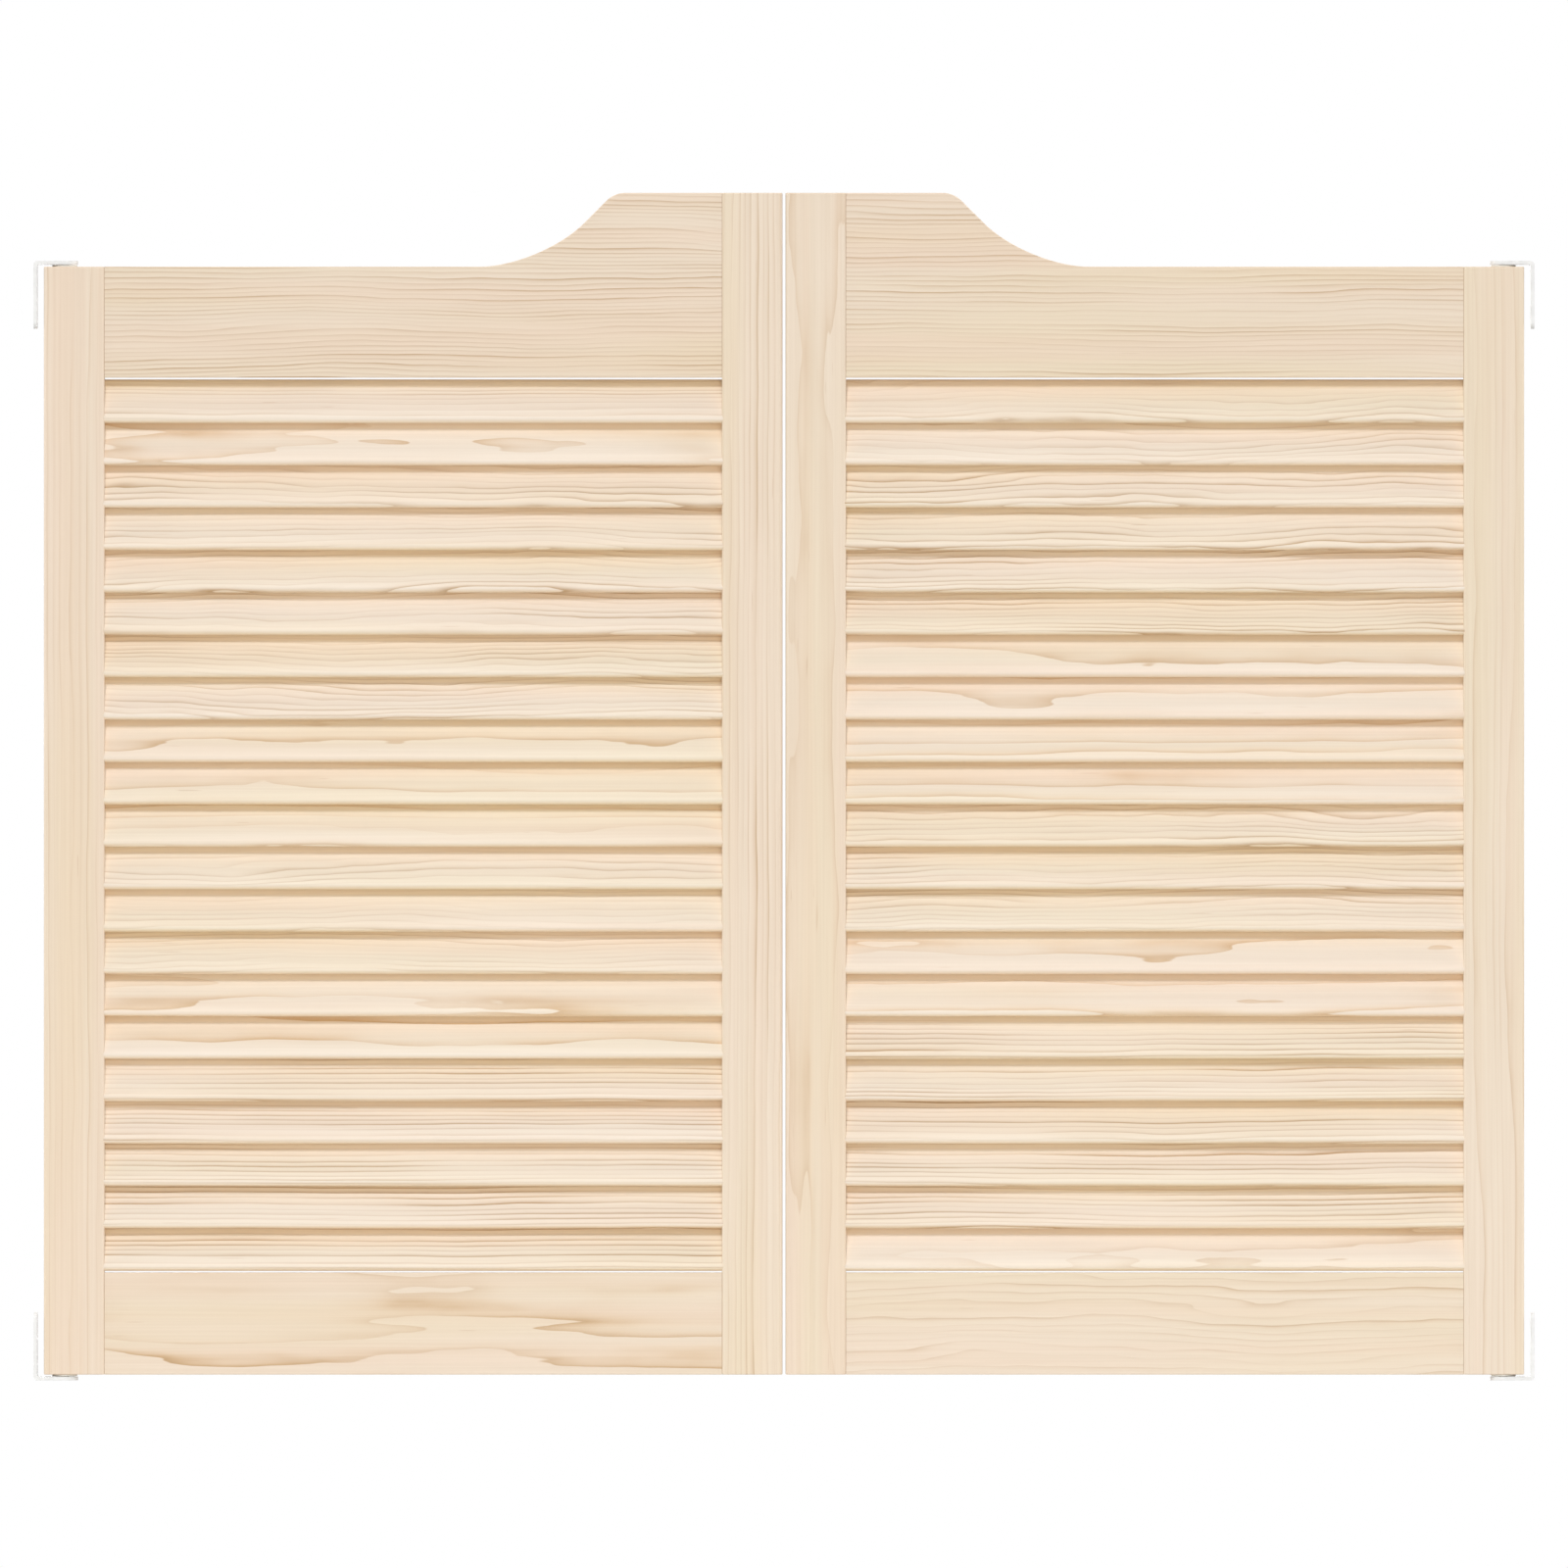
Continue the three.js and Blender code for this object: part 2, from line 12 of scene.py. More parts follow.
import bmesh
import bpy
from bpy.props import FloatProperty, FloatVectorProperty, IntProperty, PointerProperty
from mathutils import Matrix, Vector
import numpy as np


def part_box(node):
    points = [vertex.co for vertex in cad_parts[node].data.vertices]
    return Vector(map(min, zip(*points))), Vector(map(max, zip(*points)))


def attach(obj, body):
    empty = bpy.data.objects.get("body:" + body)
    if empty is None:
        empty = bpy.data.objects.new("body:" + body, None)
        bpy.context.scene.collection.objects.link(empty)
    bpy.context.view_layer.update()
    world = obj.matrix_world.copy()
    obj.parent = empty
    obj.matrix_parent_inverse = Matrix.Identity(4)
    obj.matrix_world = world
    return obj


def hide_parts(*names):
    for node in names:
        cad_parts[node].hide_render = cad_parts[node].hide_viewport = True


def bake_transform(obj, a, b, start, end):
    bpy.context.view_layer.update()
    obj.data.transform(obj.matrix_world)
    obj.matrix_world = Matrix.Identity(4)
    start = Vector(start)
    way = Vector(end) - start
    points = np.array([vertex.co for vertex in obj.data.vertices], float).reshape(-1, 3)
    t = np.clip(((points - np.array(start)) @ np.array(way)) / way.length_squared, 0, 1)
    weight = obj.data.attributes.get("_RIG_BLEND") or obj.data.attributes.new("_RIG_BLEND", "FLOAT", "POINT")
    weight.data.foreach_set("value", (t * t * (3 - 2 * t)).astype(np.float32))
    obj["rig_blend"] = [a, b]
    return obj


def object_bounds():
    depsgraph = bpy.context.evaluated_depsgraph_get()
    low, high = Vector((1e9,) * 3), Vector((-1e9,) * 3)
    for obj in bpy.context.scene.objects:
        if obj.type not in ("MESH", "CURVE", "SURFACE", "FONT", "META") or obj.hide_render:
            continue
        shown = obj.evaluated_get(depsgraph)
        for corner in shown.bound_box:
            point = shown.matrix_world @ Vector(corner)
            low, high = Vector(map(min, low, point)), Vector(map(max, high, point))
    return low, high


bl_info = {
    "name": "Louvred swing doors",
    "version": (1, 0, 0),
    "blender": (4, 5, 0),
    "location": "View3D > Sidebar > Doors",
    "description": "Models a pair of louvred pine swing doors and their studio",
    "category": "Add Mesh",
}

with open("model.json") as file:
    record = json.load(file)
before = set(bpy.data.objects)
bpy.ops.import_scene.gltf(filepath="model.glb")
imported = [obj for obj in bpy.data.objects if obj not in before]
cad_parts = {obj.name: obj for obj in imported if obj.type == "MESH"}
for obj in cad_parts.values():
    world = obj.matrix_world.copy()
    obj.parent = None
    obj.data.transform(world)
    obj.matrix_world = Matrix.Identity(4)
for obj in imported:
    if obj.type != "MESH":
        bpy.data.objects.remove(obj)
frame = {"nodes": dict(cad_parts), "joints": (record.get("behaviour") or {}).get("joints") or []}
cad_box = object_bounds()

JAMBS = "jamb_brackets"
LEFT_PIVOT = Vector(frame["joints"][0]["pos_m"])
SLAT_COUNT = sum(name.startswith("left_slat") for name in frame["nodes"])

# Points nearer than this count as one
TOUCHING = 1e-6

# Least part of an edge's length and of a face's normal that lies on an axis which they count as following
EDGE_ALONG = 0.999
FACE_ALONG = 0.9

# How far a cutting tool or a tenon runs past the face that it crosses
OVERRUN = 0.005

# Share of half a thickness that a full round takes, so that the rounds of two edges don't meet
FULL_ROUND = 0.999

# Edges are shaded smooth below the first angle, sheet edges are rounded above the second, and faces that
# meet at less than the third are one face
SMOOTH_ANGLE = math.radians(40.0)
SHARP_ANGLE = math.radians(50.0)
FLAT_ANGLE = math.radians(1.0)

# Steps round the broad curves of the top rail, as a number of times those round an eased edge
SCOOP_STEPS = 6
CREST_STEPS = 3

# Steps round the small edges of the hardware, round a bend of the spring's wire and round one of its turns
SMALL_STEPS = 2
BEND_STEPS = 6
TURN_STEPS = 24

# Corners of the round pieces and tools
LEG_HOLE_CORNERS = 16
PIN_CORNERS = 32
SCREW_CORNERS = 40
BUSH_CORNERS = 48
FLOOR_CORNERS = 96

# Shares of the floor's radius at which it starts to fade and is gone, and of its colour in darker spots
FLOOR_FADE = (0.35, 0.98)
FLOOR_MOTTLE = 0.985
WHITE = (1.0, 1.0, 1.0, 1.0)


def length(name, description, default):
    """A length that a user may change."""
    return FloatProperty(
        name=name, description=description, default=default, min=0.0, precision=4,
        subtype="DISTANCE", unit="LENGTH",
    )


def angle(name, description, degrees):
    """An angle that a user may change."""
    return FloatProperty(name=name, description=description, default=math.radians(degrees), subtype="ANGLE")


def share(name, description, default):
    """A share from none to all that a user may change."""
    return FloatProperty(
        name=name, description=description, default=default, min=0.0, max=1.0, subtype="FACTOR"
    )


def colour(name, description, default):
    """A colour that a user may change, in linear values."""
    return FloatVectorProperty(
        name=name, description=description, default=default, min=0.0, max=1.0, size=3, subtype="COLOR"
    )


class JoinerySizes(bpy.types.PropertyGroup):
    """Sizes of the wooden pieces that their boxes in the frame don't give"""

    stile_ease: length("Stile easing", "Radius of the stiles' long edges", 0.0015)
    stile_end_ease: length("Stile end easing", "Radius round the stiles' ends", 0.0008)
    rail_ease: length("Rail easing", "Radius of the rails' long edges", 0.0006)
    rail_thickness: length("Rail thickness", "Thickness of both rails", 0.019)
    crest_length: length("Crest length", "Level top beside the meeting edge", 0.107)
    crest_radius: length("Crest radius", "Radius where the crest turns down into the ramp", 0.0165)
    ramp_angle: angle("Ramp angle", "Slope of the top rail's ramp", 45.0)
    scoop_radius: length("Scoop radius", "Radius where the ramp runs out level", 0.1)
    tenon_thickness: length("Tenon thickness", "Thickness of the rails' tenons", 0.007)
    tenon_shoulder: length("Tenon shoulder", "Wood above and below a tenon", 0.010)
    slat_width: length("Slat width", "Width of a slat across its slope", 0.033)
    slat_thickness: length("Slat thickness", "Thickness of a slat", 0.006)
    slat_tilt: angle("Slat tilt", "Lean of the slats from upright", 29.0)
    joint_fit: length("Joint fit", "Play of slats and tenons in their slots", 0.0003)
    edge_steps: IntProperty(name="Edge steps", description="Steps round an eased edge", default=4, min=1)


class HardwareSizes(bpy.types.PropertyGroup):
    """Sizes of the brackets, bushes, springs and screws"""

    sheet_thickness: length("Sheet thickness", "Thickness of the bracket's sheet", 0.0025)
    bend_radius: length("Bend radius", "Inside radius of the bracket's bend", 0.0015)
    corner_radius: length("Corner radius", "Radius of the bracket's free corners", 0.004)
    pin_radius: length("Pin radius", "Radius of the pivot pins", 0.003)
    upper_pin_top: length("Upper pin reach", "Reach of the upper pin from the bracket's outside", 0.019)
    lower_pin_top: length("Lower pin reach", "Reach of the lower pin from the bracket's outside", 0.0404)
    bush_radius: length("Bush radius", "Radius of a bush in its bore", 0.0067)
    bore_radius: length("Bore radius", "Radius of a bush's own bore", 0.00325)
    flange_thickness: length("Flange thickness", "Thickness of a bush's flange", 0.0012)
    bore_headroom: length("Bore headroom", "Room past the end of a pin or bush", 0.0015)
    wire_radius: length("Wire radius", "Radius of the spring's wire", 0.0009)
    coil_radius: length("Coil radius", "Radius of the spring at the middle of its wire", 0.0046)
    coil_bottom: length("Coil bottom", "Height at which the turns start", 0.0172)
    coil_height: length("Coil height", "Height of all turns", 0.0208)
    coil_turns: IntProperty(name="Coil turns", description="Turns of a spring", default=8, min=1)
    wire_bend: length("Wire bend", "Radius of the bends at the spring's ends", 0.0017)
    wire_leg: length("Wire leg", "Straight end of the spring in its bush", 0.0035)
    hole_radius: length("Hole radius", "Radius of the screw holes", 0.0022)
    sink_radius: length("Sink radius", "Radius of the countersinks", 0.0042)
    sink_depth: length("Sink depth", "Depth of the countersinks", 0.002)
    first_hole: length("First hole", "Height of the first screw above the bracket's outer face", 0.016)
    second_hole: length("Second hole", "Height of the second screw above the bracket's outer face", 0.036)
    edge_round: length("Edge round", "Radius of the coated edges", 0.0003)
    screw_fit: length("Screw fit", "Play between a screw and its hole", 0.00012)
    cross_width: length("Cross width", "Width of each arm of a screw's cross recess", 0.0009)
    cross_depth: length("Cross depth", "Depth of a screw's cross recess", 0.0013)


class Finishes(bpy.types.PropertyGroup):
    """Colours of the wood and the fittings, in linear values"""

    frame_pale: colour("Frame earlywood", "Pale wood of the stiles and rails", (0.856, 0.728, 0.586))
    # Paler than the frame's wood, partly as paler wood and partly as painted light for the extra light on
    # the slats' upward-tilted faces
    slat_pale: colour("Slat earlywood", "Pale wood of the slats", (0.921, 0.815, 0.692))
    summerwood: colour("Summerwood", "Tan wood late in each year's growth", (0.700, 0.440, 0.200))
    latewood: colour("Latewood", "Dark line that ends each year's growth", (0.500, 0.320, 0.170))
    # Painted shade: a warm darker tint multiplied into each slat where the slat above shades it and under
    # its nose
    painted_shade: colour("Recess", "Tint of the finish gathered along a slat's edges", (1.000, 0.930, 0.800))
    blush: colour("Blush", "Tint of the pinkish bands in the wood", (1.000, 0.960, 0.945))
    straw: colour("Straw", "Tint of the yellowish bands in the wood", (0.985, 0.985, 0.920))
    resin: colour("Resin", "Short resin streaks", (0.520, 0.300, 0.150))
    coat: colour("Coating", "White coating of the brackets", (0.860, 0.855, 0.835))
    nylon: colour("Nylon", "Natural nylon of the bushes", (0.830, 0.800, 0.720))
    steel: colour("Steel", "Bright wire of the springs", (0.480, 0.490, 0.500))
    zinc: colour("Zinc", "Plating of the screws", (0.640, 0.645, 0.650))


class StudioSettings(bpy.types.PropertyGroup):
    """The camera, the light and the floor"""

    camera_distance: length("Camera distance", "Distance from the camera to the doors", 30.0)
    picture_width: length("Picture width", "Width of the picture at the fronts of the doors", 1.0614)
    aim_height: length("Aim height", "Height at the middle of the picture", 0.4038)
    floor_drop: length("Floor drop", "Height of the doors above the floor", 0.55)
    floor_reach: length("Floor reach", "Radius at which the floor has faded out", 3.2)
    key_share: share("Key light", "Share of the light that the main lamp gives", 0.375)
    key_distance: length("Key distance", "Distance of the main lamp", 16.0)
    key_width: length("Key width", "Width of the main lamp", 3.2)
    key_rise: angle("Key rise", "Height of the main lamp above the horizon", 29.0)
    key_turn: angle("Key turn", "Turn of the main lamp to the left", 6.0)
    broad_distance: length("Broad distance", "Distance of the broad lamps", 14.0)
    broad_width: length("Broad width", "Width of the broad lamps", 6.0)
    fill_share: share("Fill light", "Share of the light that the front lamp gives", 0.25)
    fill_rise: angle("Fill rise", "Height of the front lamp above the horizon", 3.0)
    fill_turn: angle("Fill turn", "Turn of the front lamp to the left", -4.0)
    back_share: share("Back light", "Share of the light that the lamp behind the doors gives", 0.26)
    back_rise: angle("Back rise", "Height of the lamp behind the doors above the horizon", 2.0)
    back_turn: angle("Back turn", "Turn of the lamp behind the doors to the left", 172.0)
    side_share: share("Side light", "Share of the light that each lamp beside the doors gives", 0.35)
    side_rise: angle("Side rise", "Height of the lamps beside the doors above the horizon", 8.0)
    top_share: share("Top light", "Share of the light that the lamp over the doors gives", 0.35)
    sky_share: share("Sky light", "Share of the light that comes from all round", 0.26)
    floor: colour("Floor", "Pale floor", (0.82, 0.82, 0.81))


def select_only(piece):
    """Leave edit mode and make one piece the only one selected."""
    if bpy.context.mode != "OBJECT":
        bpy.ops.object.mode_set(mode="OBJECT")
    bpy.ops.object.select_all(action="DESELECT")
    piece.select_set(True)
    bpy.context.view_layer.objects.active = piece


def settle():
    """Put the place, turn and scale of the newest primitive into its mesh."""
    bpy.ops.object.transform_apply(location=True, rotation=True, scale=True)
    return bpy.context.object


def add_block(low, high):
    """A cube primitive between two corners."""
    bpy.ops.object.select_all(action="DESELECT")
    low, high = Vector(low), Vector(high)
    bpy.ops.mesh.primitive_cube_add(size=1.0, location=(low + high) / 2, scale=high - low)
    return settle()


def add_cone(middle, axis, low, high, low_radius, high_radius, corners=PIN_CORNERS):
    """A cone or cylinder primitive along one axis through a point, between two places on that axis."""
    bpy.ops.object.select_all(action="DESELECT")
    place = Vector(middle)
    place[axis] = (low + high) / 2
    turn = ((0.0, math.pi / 2, 0.0), (-math.pi / 2, 0.0, 0.0), (0.0, 0.0, 0.0))[axis]
    bpy.ops.mesh.primitive_cone_add(
        vertices=corners, radius1=low_radius, radius2=high_radius, depth=high - low,
        location=place, rotation=turn,
    )
    return settle()


def select_parts(piece, kind, wanted):
    """In edit mode, select the corners, edges or faces that pass a test."""
    select_only(piece)
    bpy.ops.object.mode_set(mode="EDIT")
    bpy.ops.mesh.select_mode(type=kind)
    bpy.ops.mesh.select_all(action="DESELECT")
    mesh = bmesh.from_edit_mesh(piece.data)
    parts = {"VERT": mesh.verts, "EDGE": mesh.edges, "FACE": mesh.faces}[kind]
    for part in parts:
        if wanted(part):
            part.select_set(True)
    mesh.select_flush_mode()
    bmesh.update_edit_mesh(piece.data)


def round_edges(piece, wanted, reach, steps):
    """Round the edges that pass a test, each over this reach on both of its faces."""
    select_parts(piece, "EDGE", wanted)
    bpy.ops.mesh.bevel(offset=reach, segments=steps, profile=0.5, affect="EDGES")
    bpy.ops.object.mode_set(mode="OBJECT")


def extrude_by(shift):
    """Extrude the selected faces by a vector."""
    bpy.ops.mesh.extrude_region_move(TRANSFORM_OT_translate={"value": shift})


def box_of(piece):
    """Lowest and highest corner of a piece's mesh."""
    corners = [vertex.co for vertex in piece.data.vertices]
    return [Vector(pick(corner[axis] for corner in corners) for axis in range(3)) for pick in (min, max)]


def runs_along(edge, axis):
    """Whether an edge runs along X, Y or Z."""
    step = edge.verts[1].co - edge.verts[0].co
    return abs(step[axis]) > EDGE_ALONG * step.length


def faces_along(face, axis, sign=1.0):
    """Whether a face looks along X, Y or Z, or against it where the sign is negative."""
    return sign * face.normal[axis] > FACE_ALONG


def lies_at(edge, axis, value):
    """Whether both ends of an edge lie at one place on an axis."""
    return all(abs(corner.co[axis] - value) < TOUCHING for corner in edge.verts)


def crosses_at(edge, x, z):
    """Whether an edge runs from front to back at one place across and one height."""
    return runs_along(edge, 1) and lies_at(edge, 0, x) and lies_at(edge, 2, z)


def apply_modifier(piece, kind, **options):
    """Add a modifier with these options and apply it."""
    select_only(piece)
    modifier = piece.modifiers.new(kind.lower(), kind)
    for option, value in options.items():
        setattr(modifier, option, value)
    bpy.ops.object.modifier_apply(modifier=modifier.name)


def combine(piece, tool, operation):
    """Cut a tool out of a piece, or join it on, and remove the tool."""
    apply_modifier(piece, "BOOLEAN", operation=operation, solver="EXACT", object=tool)
    bpy.data.objects.remove(tool)


def shifted_copy(piece, shift):
    """A copy with its own mesh, moved by a vector."""
    select_only(piece)
    bpy.ops.object.duplicate()
    bpy.ops.transform.translate(value=shift)
    return settle()


def mirrored_copy(piece):
    """A copy with its own mesh on the other side of x = 0."""
    select_only(piece)
    bpy.ops.object.duplicate()
    bpy.ops.object.mode_set(mode="EDIT")
    bpy.ops.mesh.select_all(action="SELECT")
    bpy.ops.transform.resize(value=(-1.0, 1.0, 1.0), center_override=(0.0, 0.0, 0.0))
    bpy.ops.mesh.normals_make_consistent(inside=False)
    bpy.ops.object.mode_set(mode="OBJECT")
    return bpy.context.object


def turned_over(piece, height):
    """Turn a piece half round the line along X at this height, in its mesh."""
    select_only(piece)
    bpy.ops.transform.rotate(value=math.pi, orient_axis="X", center_override=(0.0, 0.0, height))
    return settle()


def finish_piece(piece, node, suffix, body, material):
    """Smooth a piece, give it its finish and let it stand for its node."""
    select_only(piece)
    piece.name = f"{node}_{suffix}"
    piece.data.name = piece.name
    bpy.ops.object.shade_smooth_by_angle(angle=SMOOTH_ANGLE)
    apply_modifier(piece, "WEIGHTED_NORMAL", keep_sharp=True)
    piece.data.materials.clear()
    piece.data.materials.append(material)
    if body:
        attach(piece, body)
    if node in frame["nodes"]:
        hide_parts(node)


def finish_pair(piece, name, suffix, body, material):
    """Finish a left-hand piece and its mirrored copy, on a body whose name may hold {side}."""
    for side, one in (("left", piece), ("right", mirrored_copy(piece))):
        finish_piece(one, f"{side}_{name}", suffix, body.format(side=side), material)


def feed(tree, socket, value):
    """Link a socket to an output, or set it to a plain value."""
    if isinstance(value, bpy.types.NodeSocket):
        tree.links.new(value, socket)
    else:
        socket.default_value = value


def add_node(tree, kind, inputs, **options):
    """Add a node, set its options and feed its inputs by name or number."""
    made = tree.nodes.new(kind)
    for option, value in options.items():
        setattr(made, option, value)
    for place, value in inputs.items():
        feed(tree, made.inputs[place], value)
    return made


def calc(tree, operation, *values):
    """One step of arithmetic."""
    return add_node(tree, "ShaderNodeMath", dict(enumerate(values)), operation=operation).outputs[0]


def vector_calc(tree, operation, inputs):
    """One step of arithmetic with vectors."""
    return add_node(tree, "ShaderNodeVectorMath", inputs, operation=operation).outputs[0]


def ramp(tree, value, low, high, to_low=0.0, to_high=1.0):
    """A smooth step between two values."""
    inputs = {"Value": value, "From Min": low, "From Max": high, "To Min": to_low, "To Max": to_high}
    return add_node(tree, "ShaderNodeMapRange", inputs, interpolation_type="SMOOTHSTEP").outputs[0]


def noise(tree, place, stretch, detail):
    """Noise about 0.5 with this many spots to the metre along each axis."""
    scaled = vector_calc(tree, "MULTIPLY", {0: place, 1: stretch})
    inputs = {"Vector": scaled, "Scale": 1.0, "Detail": detail}
    return add_node(tree, "ShaderNodeTexNoise", inputs).outputs[0]


def swing(tree, value, reach):
    """Noise about 0.5 turned into a value about 0."""
    centred = calc(tree, "SUBTRACT", value, 0.5)
    return calc(tree, "MULTIPLY", centred, reach)


def mix(tree, factor, first, second, blend="MIX"):
    """Two colours mixed by a factor."""
    inputs = {0: factor, 6: first, 7: second}
    return add_node(tree, "ShaderNodeMix", inputs, data_type="RGBA", blend_type=blend).outputs[2]


def split(tree, vector):
    """The three parts of a vector."""
    return add_node(tree, "ShaderNodeSeparateXYZ", {0: vector}).outputs


def add_squares(tree, first, second):
    """The sum of two squares."""
    return calc(tree, "ADD", calc(tree, "POWER", first, 2.0), calc(tree, "POWER", second, 2.0))


def fade_out(tree, distance, reach):
    """A value that falls from 1 as a distance grows past a reach."""
    return calc(tree, "EXPONENT", calc(tree, "MULTIPLY", calc(tree, "DIVIDE", distance, reach), -1.0))


def rgba(values):
    """A colour with its alpha."""
    return (*values, 1.0)


def new_material(name):
    """A new material, its nodes and its shader."""
    material = bpy.data.materials.new(name)
    material.use_nodes = True
    return material, material.node_tree, material.node_tree.nodes["Principled BSDF"]


def new_group(name, inputs, outputs):
    """An empty node group, its input node and its output node."""
    group = bpy.data.node_groups.new(name, "ShaderNodeTree")
    for socket, kind in inputs:
        group.interface.new_socket(socket, in_out="INPUT", socket_type=f"NodeSocket{kind}")
    for socket, kind in outputs:
        group.interface.new_socket(socket, in_out="OUTPUT", socket_type=f"NodeSocket{kind}")
    return group, group.nodes.new("NodeGroupInput"), group.nodes.new("NodeGroupOutput")


# Noises of the wood: spots to the metre along, across and into a board, and how fine each noise goes
WOOD_NOISES = {
    "long_bends": ((4.0, 14.0, 14.0), 2.0),
    "short_bends": ((16.0, 60.0, 60.0), 2.0),
    "jitter": ((25.0, 320.0, 320.0), 2.0),
    "drift": ((0.6, 60.0, 60.0), 1.0),
    "patches": ((5.0, 45.0, 45.0), 2.0),
    "fibres": ((7.0, 620.0, 620.0), 3.0),
    "blush": ((1.5, 55.0, 55.0), 2.0),
    "straw": ((2.0, 30.0, 31.0), 1.0),
    "resin": ((26.0, 640.0, 640.0), 1.0),
}

# How far the noises move the rings: bends and jitter in metres, drift in years
RING_MOVES = {"long_bends": 0.020, "short_bends": 0.0040, "jitter": 0.0005, "drift": 2.2}

# How far a seed moves the noises, in metres, and the years that it skips
SEED_MOVE = (3.17, 1.73, 2.39)
SEED_YEARS = 7.0

# Values at which a noise starts to show and shows in full
VIGOUR_SHOWS = (0.1, 1.0)
PATCHES_SHOW = (0.36, 0.62)
BANDS_SHOW = (0.35, 0.75)
FIBRES_SHOW = (0.25, 0.75)
RESIN_SHOWS = (0.76, 0.82)

# Rings: over what width one ends, the width of its dark line, the share that is tan, and the least that
# is left of a line in a lean year or patch
RING_EDGE = 0.00012
DARK_WIDTH = 0.0006
TAN_SHARE = 0.22
LEAST_LINE = 0.30

# Widths of a narrow and a wide ring, and the weights of the dark line and the tan wood in them
RING_WIDTHS = (0.003, 0.009)
DARK_WEIGHTS = (1.50, 0.50)
TAN_WEIGHTS = (0.40, 1.15)

# Shares of the resin, fibre and end-grain colours where they are strongest, and the part of an upward
# facing at which end grain starts and is full
RESIN_SHARE = 0.25
FIBRE_SHARE = 0.10
END_GRAIN_SHARE = 0.30
END_GRAIN_SHOWS = (0.75, 0.97)

# Painted shade: heights above a slat's middle at which a warm darker tint starts and is full, at its upper
# edge where the slat above shades it and under its lower nose, and the tint's strength by the slat's slope,
# which leaves upright boards without it
UPPER_PAINTED_SHADE = (0.008, 0.011)
LOWER_PAINTED_SHADE = (-0.0120, -0.0145)
PAINTED_SHADE_BY_SLOPE = -2.0

# Roughness of the wood beside and on its fibres, the noise between them, and the depth of its relief with
# the share of the dark lines in it
WOOD_ROUGHNESS = (0.74, 0.60)
ROUGHNESS_SHOWS = (0.2, 0.8)
WOOD_RELIEF = 0.00012
WOOD_RELIEF_STRENGTH = 0.35
DARK_RELIEF = 0.5


def pine_grain():
    """Growth rings round a pith line that runs along the board, with fibres, bands and resin streaks."""
    known = bpy.data.node_groups.get("pine_grain")
    if known:
        return known
    group, given, put = new_group(
        "pine_grain",
        [("Along", "Float"), ("Across", "Float"), ("Depth", "Float"), ("Pith", "Vector"),
         ("Figure", "Vector"), ("Pinkness", "Float")],
        [(name, "Float") for name in ("Latewood", "Summer", "Fibre", "Blush", "Straw", "Resin")],
    )
    along, across, depth = given.outputs["Along"], given.outputs["Across"], given.outputs["Depth"]
    pith_across, pith_depth, ring = split(group, given.outputs["Pith"])
    strength, wave, seed = split(group, given.outputs["Figure"])

    place = add_node(group, "ShaderNodeCombineXYZ", {0: along, 1: across, 2: depth}).outputs[0]
    shift = vector_calc(group, "SCALE", {0: SEED_MOVE, "Scale": seed})
    place = vector_calc(group, "ADD", {0: place, 1: shift})
    noises = {name: noise(group, place, *values) for name, values in WOOD_NOISES.items()}
    moves = {name: swing(group, noises[name], reach) for name, reach in RING_MOVES.items()}

    sideways = calc(group, "SUBTRACT", across, pith_across)
    inward = calc(group, "SUBTRACT", depth, pith_depth)
    radius = calc(group, "SQRT", add_squares(group, sideways, inward))
    bends = calc(group, "MULTIPLY", calc(group, "ADD", moves["long_bends"], moves["short_bends"]), wave)
    for move in (bends, moves["jitter"]):
        radius = calc(group, "ADD", radius, move)
    years = calc(group, "ADD", calc(group, "DIVIDE", radius, ring), moves["drift"])
    to_winter = calc(group, "MULTIPLY", calc(group, "SUBTRACT", 1.0, calc(group, "FRACT", years)), ring)

    year = calc(group, "ADD", calc(group, "FLOOR", years), calc(group, "MULTIPLY", seed, SEED_YEARS))
    vigour = add_node(group, "ShaderNodeTexWhiteNoise", {"W": year}, noise_dimensions="1D").outputs[0]
    line = calc(group, "MULTIPLY", strength, ramp(group, to_winter, 0.0, RING_EDGE))
    for unevenness, shows in ((vigour, VIGOUR_SHOWS), (noises["patches"], PATCHES_SHOW)):
        line = calc(group, "MULTIPLY", line, ramp(group, unevenness, *shows, LEAST_LINE, 1.0))
    for socket, reach, weights in (
        ("Latewood", DARK_WIDTH, DARK_WEIGHTS),
        ("Summer", calc(group, "MULTIPLY", ring, TAN_SHARE), TAN_WEIGHTS),
    ):
        weight = ramp(group, ring, *RING_WIDTHS, *weights)
        late = calc(group, "MULTIPLY", fade_out(group, to_winter, reach), weight)
        feed(group, put.inputs[socket], calc(group, "MULTIPLY", late, line))

    pink = calc(group, "ADD", noises["blush"], given.outputs["Pinkness"])
    feed(group, put.inputs["Fibre"], noises["fibres"])
    feed(group, put.inputs["Blush"], ramp(group, pink, *BANDS_SHOW))
    feed(group, put.inputs["Straw"], ramp(group, noises["straw"], *BANDS_SHOW))
    feed(group, put.inputs["Resin"], ramp(group, noises["resin"], *RESIN_SHOWS))
    return group


